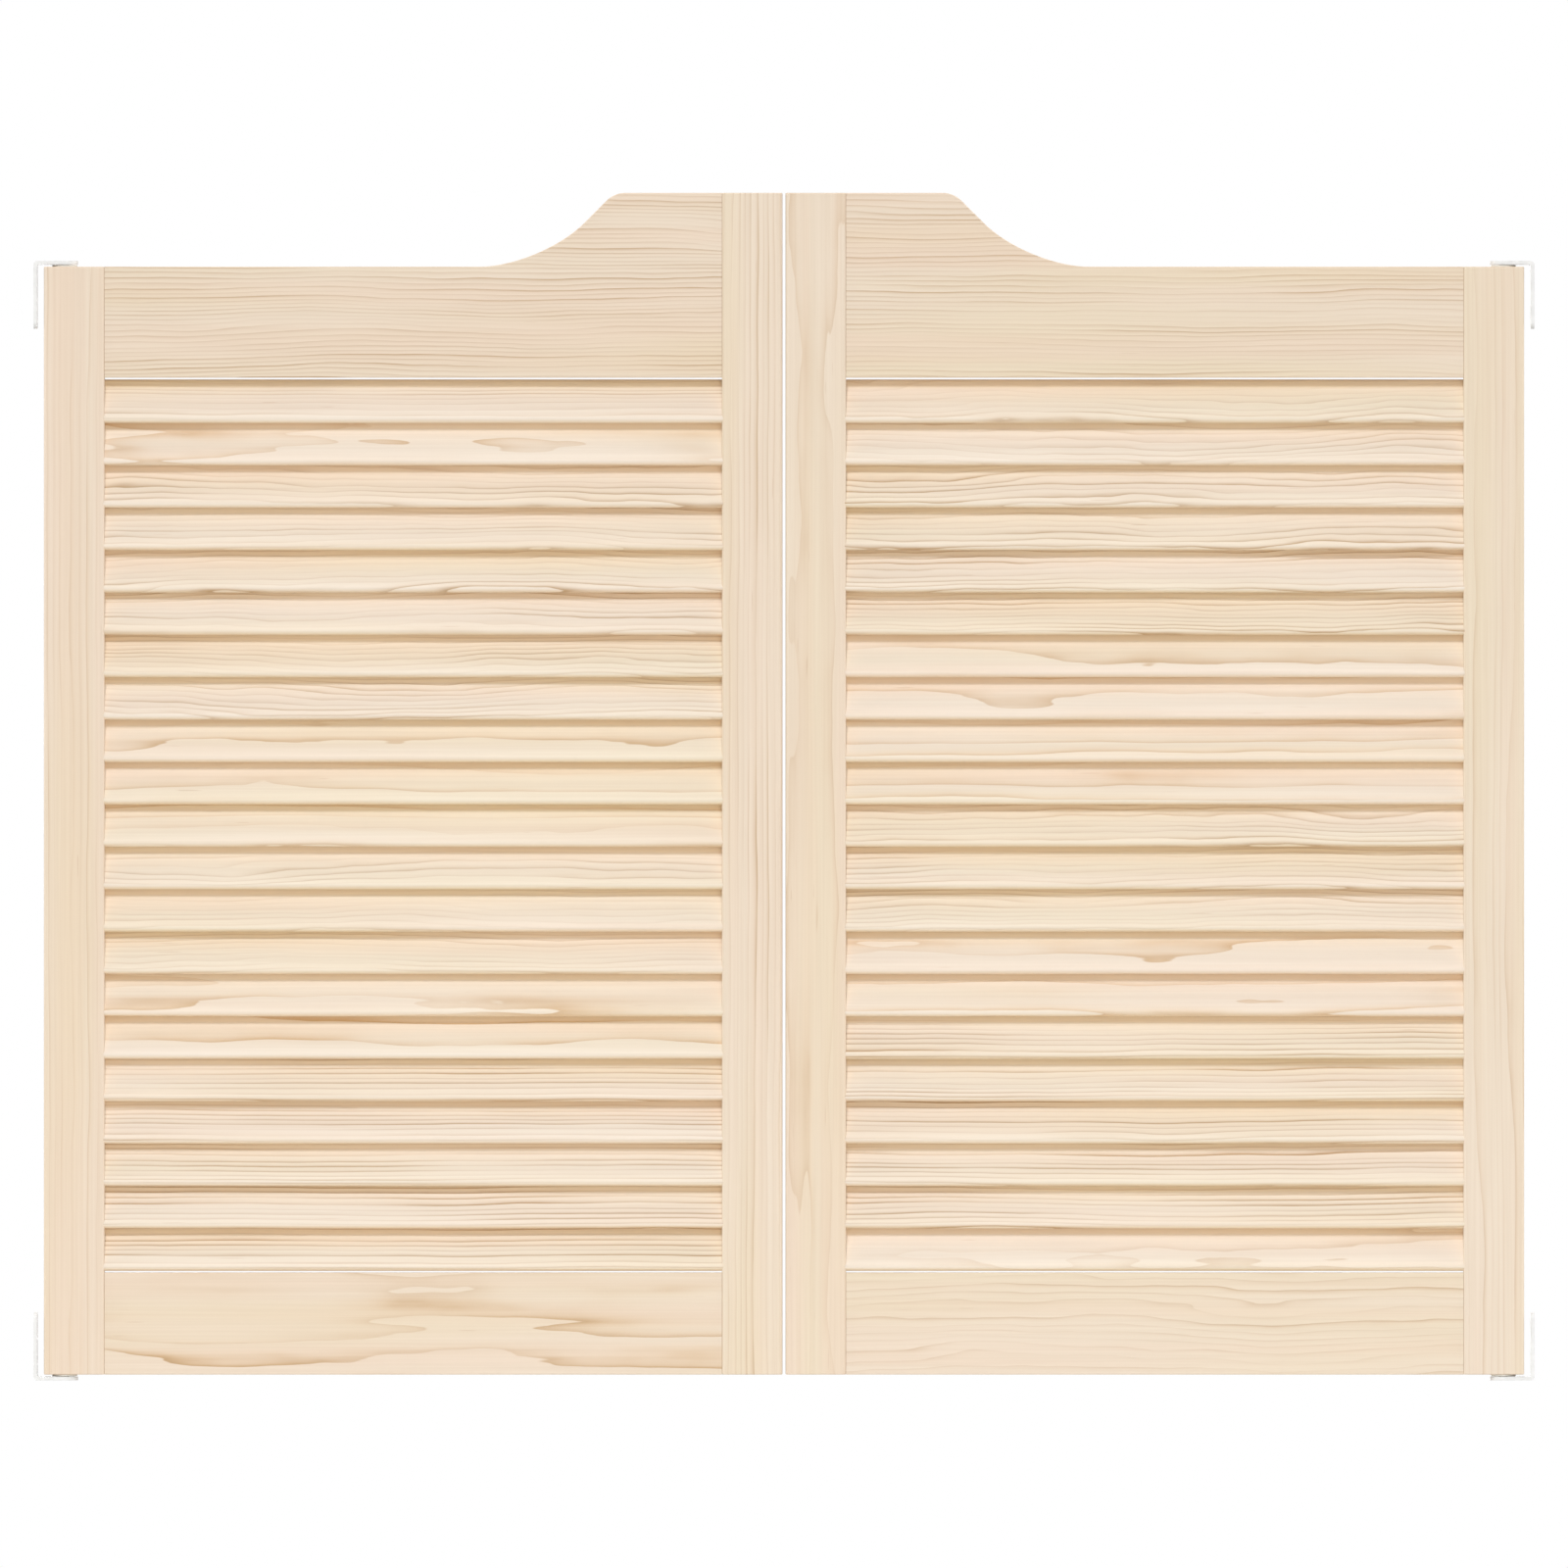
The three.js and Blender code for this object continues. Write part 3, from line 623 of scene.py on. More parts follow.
def pine(name, grain_axis, pale):
    """Pine with its grain along X for rails and slats or along Z for stiles."""
    known = bpy.data.materials.get(name)
    if known:
        return known
    finishes = bpy.context.scene.door_finishes
    material, tree, shader = new_material(name)
    x, y, z = split(tree, add_node(tree, "ShaderNodeTexCoord", {}).outputs["Object"])
    along, across = (x, z) if grain_axis == "X" else (z, x)
    kinds = {"Pith": "Vector", "Figure": "Vector", "Lay": "Vector", "Pinkness": "Fac"}
    board = {
        socket: add_node(tree, "ShaderNodeAttribute", {}, attribute_name=socket.lower()).outputs[kind]
        for socket, kind in kinds.items()
    }
    middle, slope, upright = split(tree, board.pop("Lay"))
    up_slat = calc(tree, "SUBTRACT", across, middle)
    leaning = calc(tree, "MULTIPLY", up_slat, slope)
    depth = calc(tree, "ADD", calc(tree, "MULTIPLY", y, upright), leaning)
    inputs = {"Along": along, "Across": across, "Depth": depth, **board}
    masks = add_node(tree, "ShaderNodeGroup", inputs, node_tree=pine_grain()).outputs

    wood = mix(tree, masks["Blush"], rgba(pale), rgba([p * t for p, t in zip(pale, finishes.blush)]))
    straw = mix(tree, 1.0, wood, rgba(finishes.straw), "MULTIPLY")
    wood = mix(tree, masks["Straw"], wood, straw)
    wood = mix(tree, masks["Summer"], wood, rgba(finishes.summerwood))
    wood = mix(tree, masks["Latewood"], wood, rgba(finishes.latewood))
    wood = mix(tree, calc(tree, "MULTIPLY", masks["Resin"], RESIN_SHARE), wood, rgba(finishes.resin))
    fibre = ramp(tree, masks["Fibre"], *FIBRES_SHOW, FIBRE_SHARE, 0.0)
    wood = mix(tree, fibre, wood, rgba(finishes.latewood))
    # Painted shade: a warm darker tint along each slat's upper edge, where the slat above casts shadow, and
    # under its nose
    upper, lower = ramp(tree, up_slat, *UPPER_PAINTED_SHADE), ramp(tree, up_slat, *LOWER_PAINTED_SHADE)
    painted_shade = calc(tree, "MULTIPLY", calc(tree, "MAXIMUM", upper, lower), slope)
    painted_shade_wood = mix(tree, 1.0, wood, rgba(finishes.painted_shade), "MULTIPLY")
    wood = mix(tree, calc(tree, "MULTIPLY", painted_shade, PAINTED_SHADE_BY_SLOPE), wood, painted_shade_wood)
    if grain_axis == "Z":
        upward = split(tree, add_node(tree, "ShaderNodeNewGeometry", {}).outputs["Normal"])[2]
        end_grain = ramp(tree, calc(tree, "ABSOLUTE", upward), *END_GRAIN_SHOWS, 0.0, END_GRAIN_SHARE)
        wood = mix(tree, end_grain, wood, rgba(finishes.latewood))
    feed(tree, shader.inputs["Base Color"], wood)
    feed(tree, shader.inputs["Roughness"], ramp(tree, masks["Fibre"], *ROUGHNESS_SHOWS, *WOOD_ROUGHNESS))
    height = calc(tree, "ADD", calc(tree, "MULTIPLY", masks["Latewood"], DARK_RELIEF), masks["Fibre"])
    relief = {"Strength": WOOD_RELIEF_STRENGTH, "Distance": WOOD_RELIEF, "Height": height}
    feed(tree, shader.inputs["Normal"], add_node(tree, "ShaderNodeBump", relief).outputs[0])
    return material


# How a board grew: the distance from its middle to its pith, the pith's direction in degrees from across
# the board towards its back, the width of a year's growth, the strength and waviness of the lines, a seed
# for the unevenness and how far the wood leans to pink
Board = namedtuple("Board", "distance turn ring strength wave seed pinkness", defaults=(0.0,))


def grow_board(pieces, grain_axis, board, slope=0.0):
    """Keep on each mesh how its board grew, for all pieces that are cut from it.

    A slope in radians is that of pieces that lean back from upright.
    """
    across_axis = 2 if grain_axis == "X" else 0
    boxes = [box_of(piece) for piece in pieces]
    middle = [
        (min(low[axis] for low, _ in boxes) + max(high[axis] for _, high in boxes)) / 2
        for axis in range(3)
    ]
    turn = math.radians(board.turn)
    pith = (
        middle[across_axis] + board.distance * math.cos(turn),
        middle[1] + board.distance * math.sin(turn),
        board.ring,
    )
    for piece, (low, high) in zip(pieces, boxes):
        lay = ((low[across_axis] + high[across_axis]) / 2, -math.sin(slope), math.cos(slope))
        figure = (board.strength, board.wave, board.seed)
        attributes = piece.data.attributes
        corners = len(piece.data.vertices)
        for name, value in (("pith", pith), ("figure", figure), ("lay", lay)):
            attributes.new(name, "FLOAT_VECTOR", "POINT").data.foreach_set("vector", value * corners)
        attributes.new("pinkness", "FLOAT", "POINT").data.foreach_set("value", [board.pinkness] * corners)


# How each fitting is finished: its colour, roughness and metal, the spots to the metre of its fine
# unevenness and their height
Coating = namedtuple("Coating", "colour roughness metallic spots relief")
COATINGS = {
    "white_coat": Coating("coat", 0.46, 0.0, 2600.0, 0.00003),
    "natural_nylon": Coating("nylon", 0.42, 0.0, 1400.0, 0.00002),
    "bright_wire": Coating("steel", 0.28, 1.0, 900.0, 0.00001),
    "zinc_plate": Coating("zinc", 0.34, 1.0, 1200.0, 0.00001),
}

# Spots to the metre of the broad clouds in a coating, the share of its colour in the dark ones, the noise
# between dark and light, and what the fine spots add to or take from its roughness
CLOUD_SPOTS = 160.0
CLOUD_SHADE = 0.93
CLOUDS_SHOW = (0.3, 0.7)
SPOTS_SHOW = (0.25, 0.75)
GLOSS_SPREAD = 0.06
COATING_RELIEF_STRENGTH = 0.4


def speckle():
    """Fine unevenness of a moulded or coated surface."""
    known = bpy.data.node_groups.get("speckle")
    if known:
        return known
    group, given, put = new_group(
        "speckle", [("Grain", "Float")], [("Spots", "Float"), ("Clouds", "Float")]
    )
    place = add_node(group, "ShaderNodeTexCoord", {}).outputs["Object"]
    for socket, scale in (("Spots", given.outputs["Grain"]), ("Clouds", CLOUD_SPOTS)):
        inputs = {"Vector": place, "Scale": scale, "Detail": 2.0}
        feed(group, put.inputs[socket], add_node(group, "ShaderNodeTexNoise", inputs).outputs[0])
    return group


def fitting(name):
    """A coated, moulded or plated finish with fine unevenness."""
    known = bpy.data.materials.get(name)
    if known:
        return known
    coating = COATINGS[name]
    paint = getattr(bpy.context.scene.door_finishes, coating.colour)
    material, tree, shader = new_material(name)
    masks = add_node(tree, "ShaderNodeGroup", {"Grain": coating.spots}, node_tree=speckle()).outputs
    clouds = ramp(tree, masks["Clouds"], *CLOUDS_SHOW)
    shade = mix(tree, clouds, rgba([CLOUD_SHADE * value for value in paint]), rgba(paint))
    feed(tree, shader.inputs["Base Color"], shade)
    smooth, rough = coating.roughness - GLOSS_SPREAD, coating.roughness + GLOSS_SPREAD
    feed(tree, shader.inputs["Roughness"], ramp(tree, masks["Spots"], *SPOTS_SHOW, smooth, rough))
    shader.inputs["Metallic"].default_value = coating.metallic
    relief = {"Strength": COATING_RELIEF_STRENGTH, "Distance": coating.relief, "Height": masks["Spots"]}
    feed(tree, shader.inputs["Normal"], add_node(tree, "ShaderNodeBump", relief).outputs[0])
    return material


def slat_middle(number):
    """Middle of a left-hand slat, counted from the top."""
    low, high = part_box(f"left_slat_{number:02d}")
    return (low + high) / 2


def slat_bar(low_x, high_x, middle, grow):
    """A tilted bar with round edges: a slat, or the tool for its slot where it is grown by the fit."""
    sizes = bpy.context.scene.door_joinery
    half_thickness = sizes.slat_thickness / 2 + grow
    half_width = sizes.slat_width / 2 + grow
    bar = add_block((low_x, -half_thickness, -half_width), (high_x, half_thickness, half_width))
    round_edges(bar, lambda edge: runs_along(edge, 0), half_thickness * FULL_ROUND, 2 * sizes.edge_steps)
    select_only(bar)
    bpy.ops.transform.rotate(value=sizes.slat_tilt, orient_axis="X", center_override=(0.0, 0.0, 0.0))
    bpy.ops.transform.translate(value=(0.0, middle.y, middle.z))
    return settle()


def tenon_bar(low_x, high_x, low_z, high_z, grow):
    """A bar with round upper and lower edges: a tenon, or the tool for its mortise."""
    sizes = bpy.context.scene.door_joinery
    half = sizes.tenon_thickness / 2 + grow
    bar = add_block((low_x, -half, low_z - grow), (high_x, half, high_z + grow))
    round_edges(bar, lambda edge: runs_along(edge, 0), half * FULL_ROUND, sizes.edge_steps)
    return bar


def tenon_heights(rail, stile):
    """Lower and upper edge of a rail's tenon in one of the left-hand stiles."""
    shoulder = bpy.context.scene.door_joinery.tenon_shoulder
    rail_low, rail_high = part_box(f"left_{rail}")
    stile_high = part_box(f"left_{stile}")[1]
    return rail_low.z + shoulder, min(rail_high.z, stile_high.z) - shoulder


def crossing_angle(hardware):
    """How far the spring's upper end turns in before it runs straight across the axis."""
    return math.acos(-hardware.wire_bend / (hardware.coil_radius - hardware.wire_bend))


# The board that each stile and rail is cut from
FRAME_BOARDS = {
    "left_hinge_stile": Board(0.300, 20.0, 0.0050, 0.45, 0.5, 1, 0.10),
    "left_meeting_stile": Board(0.120, 160.0, 0.0042, 0.85, 0.4, 2),
    "right_meeting_stile": Board(0.060, 85.0, 0.0060, 0.38, 0.7, 3),
    "right_hinge_stile": Board(0.300, 35.0, 0.0050, 0.40, 0.5, 4, -0.10),
    "left_top_rail": Board(0.300, 190.0, 0.0030, 1.00, 0.8, 5),
    "right_top_rail": Board(0.300, 165.0, 0.0032, 0.85, 0.8, 6),
    "left_bottom_rail": Board(0.080, 80.0, 0.0065, 1.05, 0.7, 105),
    "right_bottom_rail": Board(0.200, 140.0, 0.0045, 0.65, 1.3, 8),
}


def finish_boards(piece, name, grain_axis, material):
    """Finish a left-hand stile or rail and its mirrored copy, each from a board of its own."""
    wood = pine(material, grain_axis, bpy.context.scene.door_finishes.frame_pale)
    for side, one in (("left", piece), ("right", mirrored_copy(piece))):
        node = f"{side}_{name}"
        grow_board([one], grain_axis, FRAME_BOARDS[node])
        finish_piece(one, node, "pine", f"{side}_leaf", wood)


class DOORS_OT_stiles(bpy.types.Operator):
    """Model the four stiles with eased edges, slots, mortises and pivot bores"""

    bl_idname = "doors.stiles"
    bl_label = "Stiles"

    def execute(self, context):
        for stile_name, inward in (("hinge_stile", 1), ("meeting_stile", -1)):
            stile = self.model(context, stile_name, inward)
            finish_boards(stile, stile_name, "Z", "frame_pine_upright")
        return {"FINISHED"}

    def model(self, context, stile_name, inward):
        """The left-hand stile, with its slots on the side that inward points to."""
        sizes = context.scene.door_joinery
        low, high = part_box(f"left_{stile_name}")
        stile = add_block(low, high)
        round_edges(stile, lambda edge: runs_along(edge, 2), sizes.stile_ease, sizes.edge_steps)
        round_edges(
            stile, lambda edge: lies_at(edge, 2, low.z) or lies_at(edge, 2, high.z),
            sizes.stile_end_ease, sizes.edge_steps,
        )
        inner_edge = high.x if inward > 0 else low.x
        corner = 0 if inward > 0 else 1
        for rail in ("top_rail", "bottom_rail"):
            tenon_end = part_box(f"left_{rail}")[corner].x - inward * sizes.joint_fit
            ends = sorted((tenon_end, inner_edge + inward * OVERRUN))
            mortise = tenon_bar(*ends, *tenon_heights(rail, stile_name), sizes.joint_fit)
            combine(stile, mortise, "DIFFERENCE")
        slat_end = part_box("left_slat_01")[corner].x - inward * sizes.joint_fit
        ends = sorted((slat_end, inner_edge + inward * OVERRUN))
        combine(stile, self.slots(ends), "DIFFERENCE")
        if stile_name == "hinge_stile":
            self.bore(context, stile, low.z, high.z)
        return stile

    def slots(self, ends):
        """One tool that cuts all slots of a stile."""
        sizes = bpy.context.scene.door_joinery
        tool = slat_bar(*ends, slat_middle(1), sizes.joint_fit)
        apply_modifier(
            tool, "ARRAY", count=SLAT_COUNT, use_relative_offset=False, use_constant_offset=True,
            constant_offset_displace=slat_middle(2) - slat_middle(1),
        )
        return tool

    def bore(self, context, stile, low, high):
        """Bore both ends of the hinge stile for the bushes and the spring."""
        hardware = context.scene.door_hardware
        radius = hardware.bush_radius + context.scene.door_joinery.joint_fit
        upper_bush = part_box("left_upper_bush")[0].z
        lower = (low - OVERRUN, hardware.lower_pin_top + hardware.bore_headroom)
        upper = (upper_bush - context.scene.door_joinery.joint_fit, high + OVERRUN)
        for ends in (lower, upper):
            combine(stile, add_cone(LEFT_PIVOT, 2, *ends, radius, radius), "DIFFERENCE")


class DOORS_OT_rails(bpy.types.Operator):
    """Model the swept top rails and the straight bottom rails with their tenons"""

    bl_idname = "doors.rails"
    bl_label = "Rails"

    def execute(self, context):
        for rail_name in ("top_rail", "bottom_rail"):
            finish_boards(self.model(context, rail_name), rail_name, "X", "frame_pine_level")
        return {"FINISHED"}

    def model(self, context, rail_name):
        """The left-hand rail from shoulder to shoulder, then its two tenons."""
        sizes = context.scene.door_joinery
        hinge_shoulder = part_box("left_hinge_stile")[1].x
        meeting_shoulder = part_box("left_meeting_stile")[0].x
        low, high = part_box(f"left_{rail_name}")
        half = sizes.rail_thickness / 2
        if rail_name == "top_rail":
            rail = self.swept(context, hinge_shoulder, meeting_shoulder, low.z, high.z, half)
        else:
            rail = add_block((hinge_shoulder, -half, low.z), (meeting_shoulder, half, high.z))
        round_edges(
            rail,
            lambda edge: (lies_at(edge, 1, -half) or lies_at(edge, 1, half))
            and not lies_at(edge, 0, hinge_shoulder) and not lies_at(edge, 0, meeting_shoulder),
            sizes.rail_ease, sizes.edge_steps,
        )
        for stile_name, start, end in (
            ("hinge_stile", low.x, hinge_shoulder + OVERRUN),
            ("meeting_stile", meeting_shoulder - OVERRUN, high.x),
        ):
            combine(rail, tenon_bar(start, end, *tenon_heights(rail_name, stile_name), 0.0), "UNION")
        return rail

    def swept(self, context, left, right, bottom, top, half):
        """The top rail's board: a low stretch, a ramp and a crest, with round corners between them."""
        sizes = context.scene.door_joinery
        low_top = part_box("left_hinge_stile")[1].z
        tangent = math.tan(sizes.ramp_angle / 2)
        crest_reach = sizes.crest_radius * tangent
        scoop_reach = sizes.scoop_radius * tangent
        ramp_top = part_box("left_meeting_stile")[1].x - sizes.crest_length - crest_reach
        ramp_foot = ramp_top - (top - low_top) / math.tan(sizes.ramp_angle)
        rail = add_block((left, -half, bottom), (ramp_foot, half, low_top))
        select_parts(rail, "FACE", lambda face: faces_along(face, 0))
        extrude_by((ramp_top - ramp_foot, 0.0, 0.0))
        select_parts(rail, "EDGE", lambda edge: lies_at(edge, 0, ramp_top) and lies_at(edge, 2, low_top))
        bpy.ops.transform.translate(value=(0.0, 0.0, top - low_top))
        select_parts(rail, "FACE", lambda face: faces_along(face, 0))
        extrude_by((right - ramp_top, 0.0, 0.0))
        bpy.ops.mesh.select_all(action="SELECT")
        bpy.ops.mesh.dissolve_limited(angle_limit=FLAT_ANGLE)
        for place, height, reach, steps in (
            (ramp_foot, low_top, scoop_reach, SCOOP_STEPS * sizes.edge_steps),
            (ramp_top, top, crest_reach, CREST_STEPS * sizes.edge_steps),
        ):
            round_edges(rail, lambda edge: crosses_at(edge, place, height), reach, steps)
        return rail


# Each plank's side, the first and the last of the slats that are cut from it, and how it grew
SLAT_PLANKS = (
    ("left", 1, 1, Board(0.20, 10.0, 0.0030, 0.75, 0.5, 11)),
    ("left", 2, 2, Board(0.07, 80.0, 0.0080, 0.70, 1.4, 74)),
    ("left", 3, 8, Board(0.30, 30.0, 0.0030, 0.75, 1.1, 13)),
    ("left", 9, 11, Board(0.14, 50.0, 0.0075, 0.75, 0.9, 84)),
    ("left", 12, 14, Board(0.30, 20.0, 0.0032, 0.45, 1.0, 15)),
    ("left", 15, 15, Board(0.114, 68.4, 0.0110, 0.70, 1.0, 79)),
    ("left", 16, 16, Board(0.127, 56.3, 0.0120, 1.00, 1.0, 61)),
    ("left", 17, 21, Board(0.40, 8.0, 0.0034, 1.15, 0.35, 17)),
    ("right", 1, 2, Board(0.25, 40.0, 0.0032, 0.55, 1.3, 18)),
    ("right", 3, 6, Board(0.30, 25.0, 0.0032, 1.00, 1.2, 19)),
    ("right", 7, 10, Board(0.14, 50.0, 0.0075, 0.65, 0.9, 72)),
    ("right", 11, 13, Board(0.30, 30.0, 0.0030, 0.70, 1.1, 21)),
    ("right", 14, 15, Board(0.11, 65.0, 0.0090, 0.80, 1.1, 83)),
    ("right", 16, 20, Board(0.40, 8.0, 0.0034, 1.15, 0.5, 23)),
    ("right", 21, 21, Board(0.12, 80.0, 0.0060, 0.40, 1.0, 24)),
)


class DOORS_OT_slats(bpy.types.Operator):
    """Model one slat and copy it to every slot, with neighbours cut from one plank"""

    bl_idname = "doors.slats"
    bl_label = "Slats"

    def execute(self, context):
        low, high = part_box("left_slat_01")
        slat = slat_bar(low.x, high.x, slat_middle(1), 0.0)
        wood = pine("slat_pine", "X", context.scene.door_finishes.slat_pale)
        for side, first, last, board in SLAT_PLANKS:
            nodes = [f"{side}_slat_{number:02d}" for number in range(first, last + 1)]
            pieces = [shifted_copy(slat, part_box(node)[0] - low) for node in nodes]
            grow_board(pieces, "X", board, context.scene.door_joinery.slat_tilt)
            for piece, node in zip(pieces, nodes):
                finish_piece(piece, node, "pine", f"{side}_leaf", wood)
        bpy.data.objects.remove(slat)
        return {"FINISHED"}


class DOORS_OT_brackets(bpy.types.Operator):
    """Model the four bent jamb brackets with their pivot pins"""

    bl_idname = "doors.brackets"
    bl_label = "Brackets"

    def execute(self, context):
        hardware = context.scene.door_hardware
        mid_height = (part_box("left_lower_bracket")[0].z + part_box("left_upper_bracket")[1].z) / 2
        lower = self.model(context, hardware.lower_pin_top)
        self.slot_pin(context, lower)
        upper = turned_over(self.model(context, hardware.upper_pin_top), mid_height)
        for name, piece in (("lower_bracket", lower), ("upper_bracket", upper)):
            finish_pair(piece, name, "steel", JAMBS, fitting("white_coat"))
        return {"FINISHED"}

    def model(self, context, pin_top):
        """The lower left-hand bracket with a pin of this reach."""
        hardware = context.scene.door_hardware
        sheet = hardware.sheet_thickness
        low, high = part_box("left_lower_bracket")
        leg_face = low.x + sheet
        plate = add_block(low, (high.x, high.y, low.z + sheet))
        select_parts(plate, "FACE", lambda face: True)
        bpy.ops.mesh.bisect(plane_co=(leg_face, 0.0, 0.0), plane_no=(1.0, 0.0, 0.0))
        select_parts(
            plate, "FACE", lambda face: faces_along(face, 2) and face.calc_center_median().x < leg_face
        )
        extrude_by((0.0, 0.0, high.z - low.z - sheet))
        half_width = (high.y - low.y) / 2
        steps = 2 * context.scene.door_joinery.edge_steps
        rounds = (
            (lambda edge: crosses_at(edge, low.x, low.z), hardware.bend_radius + sheet),
            (lambda edge: crosses_at(edge, leg_face, low.z + sheet), hardware.bend_radius),
            (lambda edge: runs_along(edge, 2) and lies_at(edge, 0, high.x), half_width * FULL_ROUND),
            (lambda edge: runs_along(edge, 0) and lies_at(edge, 2, high.z), hardware.corner_radius),
        )
        for wanted, reach in rounds:
            round_edges(plate, wanted, reach, steps)
        apply_modifier(
            plate, "BEVEL", width=hardware.edge_round, segments=SMALL_STEPS,
            limit_method="ANGLE", angle_limit=SHARP_ANGLE,
        )
        self.drill(context, plate, low, leg_face)
        pin = add_cone(LEFT_PIVOT, 2, low.z + sheet / 2, pin_top, hardware.pin_radius, hardware.pin_radius)
        round_edges(pin, lambda edge: lies_at(edge, 2, pin_top), hardware.edge_round * 2, SMALL_STEPS)
        combine(plate, pin, "UNION")
        return plate

    def drill(self, context, plate, low, leg_face):
        """Drill and countersink the two screw holes."""
        hardware = context.scene.door_hardware
        for height in (hardware.first_hole, hardware.second_hole):
            middle = (0.0, 0.0, low.z + height)
            hole = add_cone(
                middle, 0, low.x - OVERRUN, leg_face + OVERRUN, hardware.hole_radius, hardware.hole_radius
            )
            combine(plate, hole, "DIFFERENCE")
            slope = (hardware.sink_radius - hardware.hole_radius) / hardware.sink_depth
            sink = add_cone(
                middle, 0, leg_face - hardware.sink_depth, leg_face + hardware.sink_depth,
                hardware.hole_radius, hardware.sink_radius + slope * hardware.sink_depth,
            )
            combine(plate, sink, "DIFFERENCE")

    def slot_pin(self, context, plate):
        """Slot the lower pin across its tip for the spring's upper end."""
        hardware = context.scene.door_hardware
        half = hardware.wire_radius + context.scene.door_joinery.joint_fit
        coil_top = hardware.coil_bottom + hardware.coil_height
        slot = add_block(
            (-2 * hardware.pin_radius, -half, coil_top - half),
            (2 * hardware.pin_radius, half, hardware.lower_pin_top + OVERRUN),
        )
        bpy.ops.transform.rotate(
            value=-crossing_angle(hardware) - math.pi / 2, orient_axis="Z", center_override=(0.0, 0.0, 0.0)
        )
        bpy.ops.transform.translate(value=(LEFT_PIVOT.x, 0.0, 0.0))
        combine(plate, settle(), "DIFFERENCE")


class DOORS_OT_bushes(bpy.types.Operator):
    """Model the flanged bushes in the ends of the hinge stiles"""

    bl_idname = "doors.bushes"
    bl_label = "Bushes"

    def execute(self, context):
        hardware = context.scene.door_hardware
        mid_height = (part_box("left_lower_bush")[0].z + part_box("left_upper_bush")[1].z) / 2
        lower = self.model(context, "left_lower_bush")
        leg_hole = hardware.wire_radius + context.scene.door_joinery.joint_fit
        place = LEFT_PIVOT + Vector((hardware.coil_radius, -hardware.wire_bend, 0.0))
        floor = hardware.coil_bottom - hardware.wire_bend - hardware.wire_leg - leg_hole
        hole = add_cone(place, 2, floor, hardware.coil_bottom, leg_hole, leg_hole, LEG_HOLE_CORNERS)
        combine(lower, hole, "DIFFERENCE")
        upper = turned_over(self.model(context, "left_upper_bush"), mid_height)
        for name, piece in (("lower_bush", lower), ("upper_bush", upper)):
            finish_pair(piece, name, "nylon", "{side}_leaf", fitting("natural_nylon"))
        return {"FINISHED"}

    def model(self, context, node):
        """A bush as long as this node, at the lower end of the left-hand hinge stile."""
        hardware = context.scene.door_hardware
        low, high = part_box(node)
        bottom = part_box("left_lower_bush")[0].z
        flange_top = bottom + hardware.flange_thickness
        top = bottom + high.z - low.z
        flange = (high.y - low.y) / 2
        bush = add_cone(LEFT_PIVOT, 2, bottom, flange_top, flange, flange, BUSH_CORNERS)
        select_parts(bush, "FACE", lambda face: faces_along(face, 2))
        bpy.ops.mesh.inset(thickness=flange - hardware.bush_radius)
        extrude_by((0.0, 0.0, top - flange_top))

        def on_rim(edge):
            """Whether an edge lies on either rim of the flange or on the far rim of the bush."""
            reach = (edge.verts[0].co.xy - LEFT_PIVOT.xy).length
            on_flange = lies_at(edge, 2, bottom) or lies_at(edge, 2, flange_top)
            return lies_at(edge, 2, top) or (on_flange and reach > (flange + hardware.bush_radius) / 2)

        round_edges(bush, on_rim, hardware.edge_round, SMALL_STEPS)
        bore = add_cone(
            LEFT_PIVOT, 2, bottom - OVERRUN, top + OVERRUN,
            hardware.bore_radius, hardware.bore_radius, BUSH_CORNERS,
        )
        combine(bush, bore, "DIFFERENCE")
        return bush


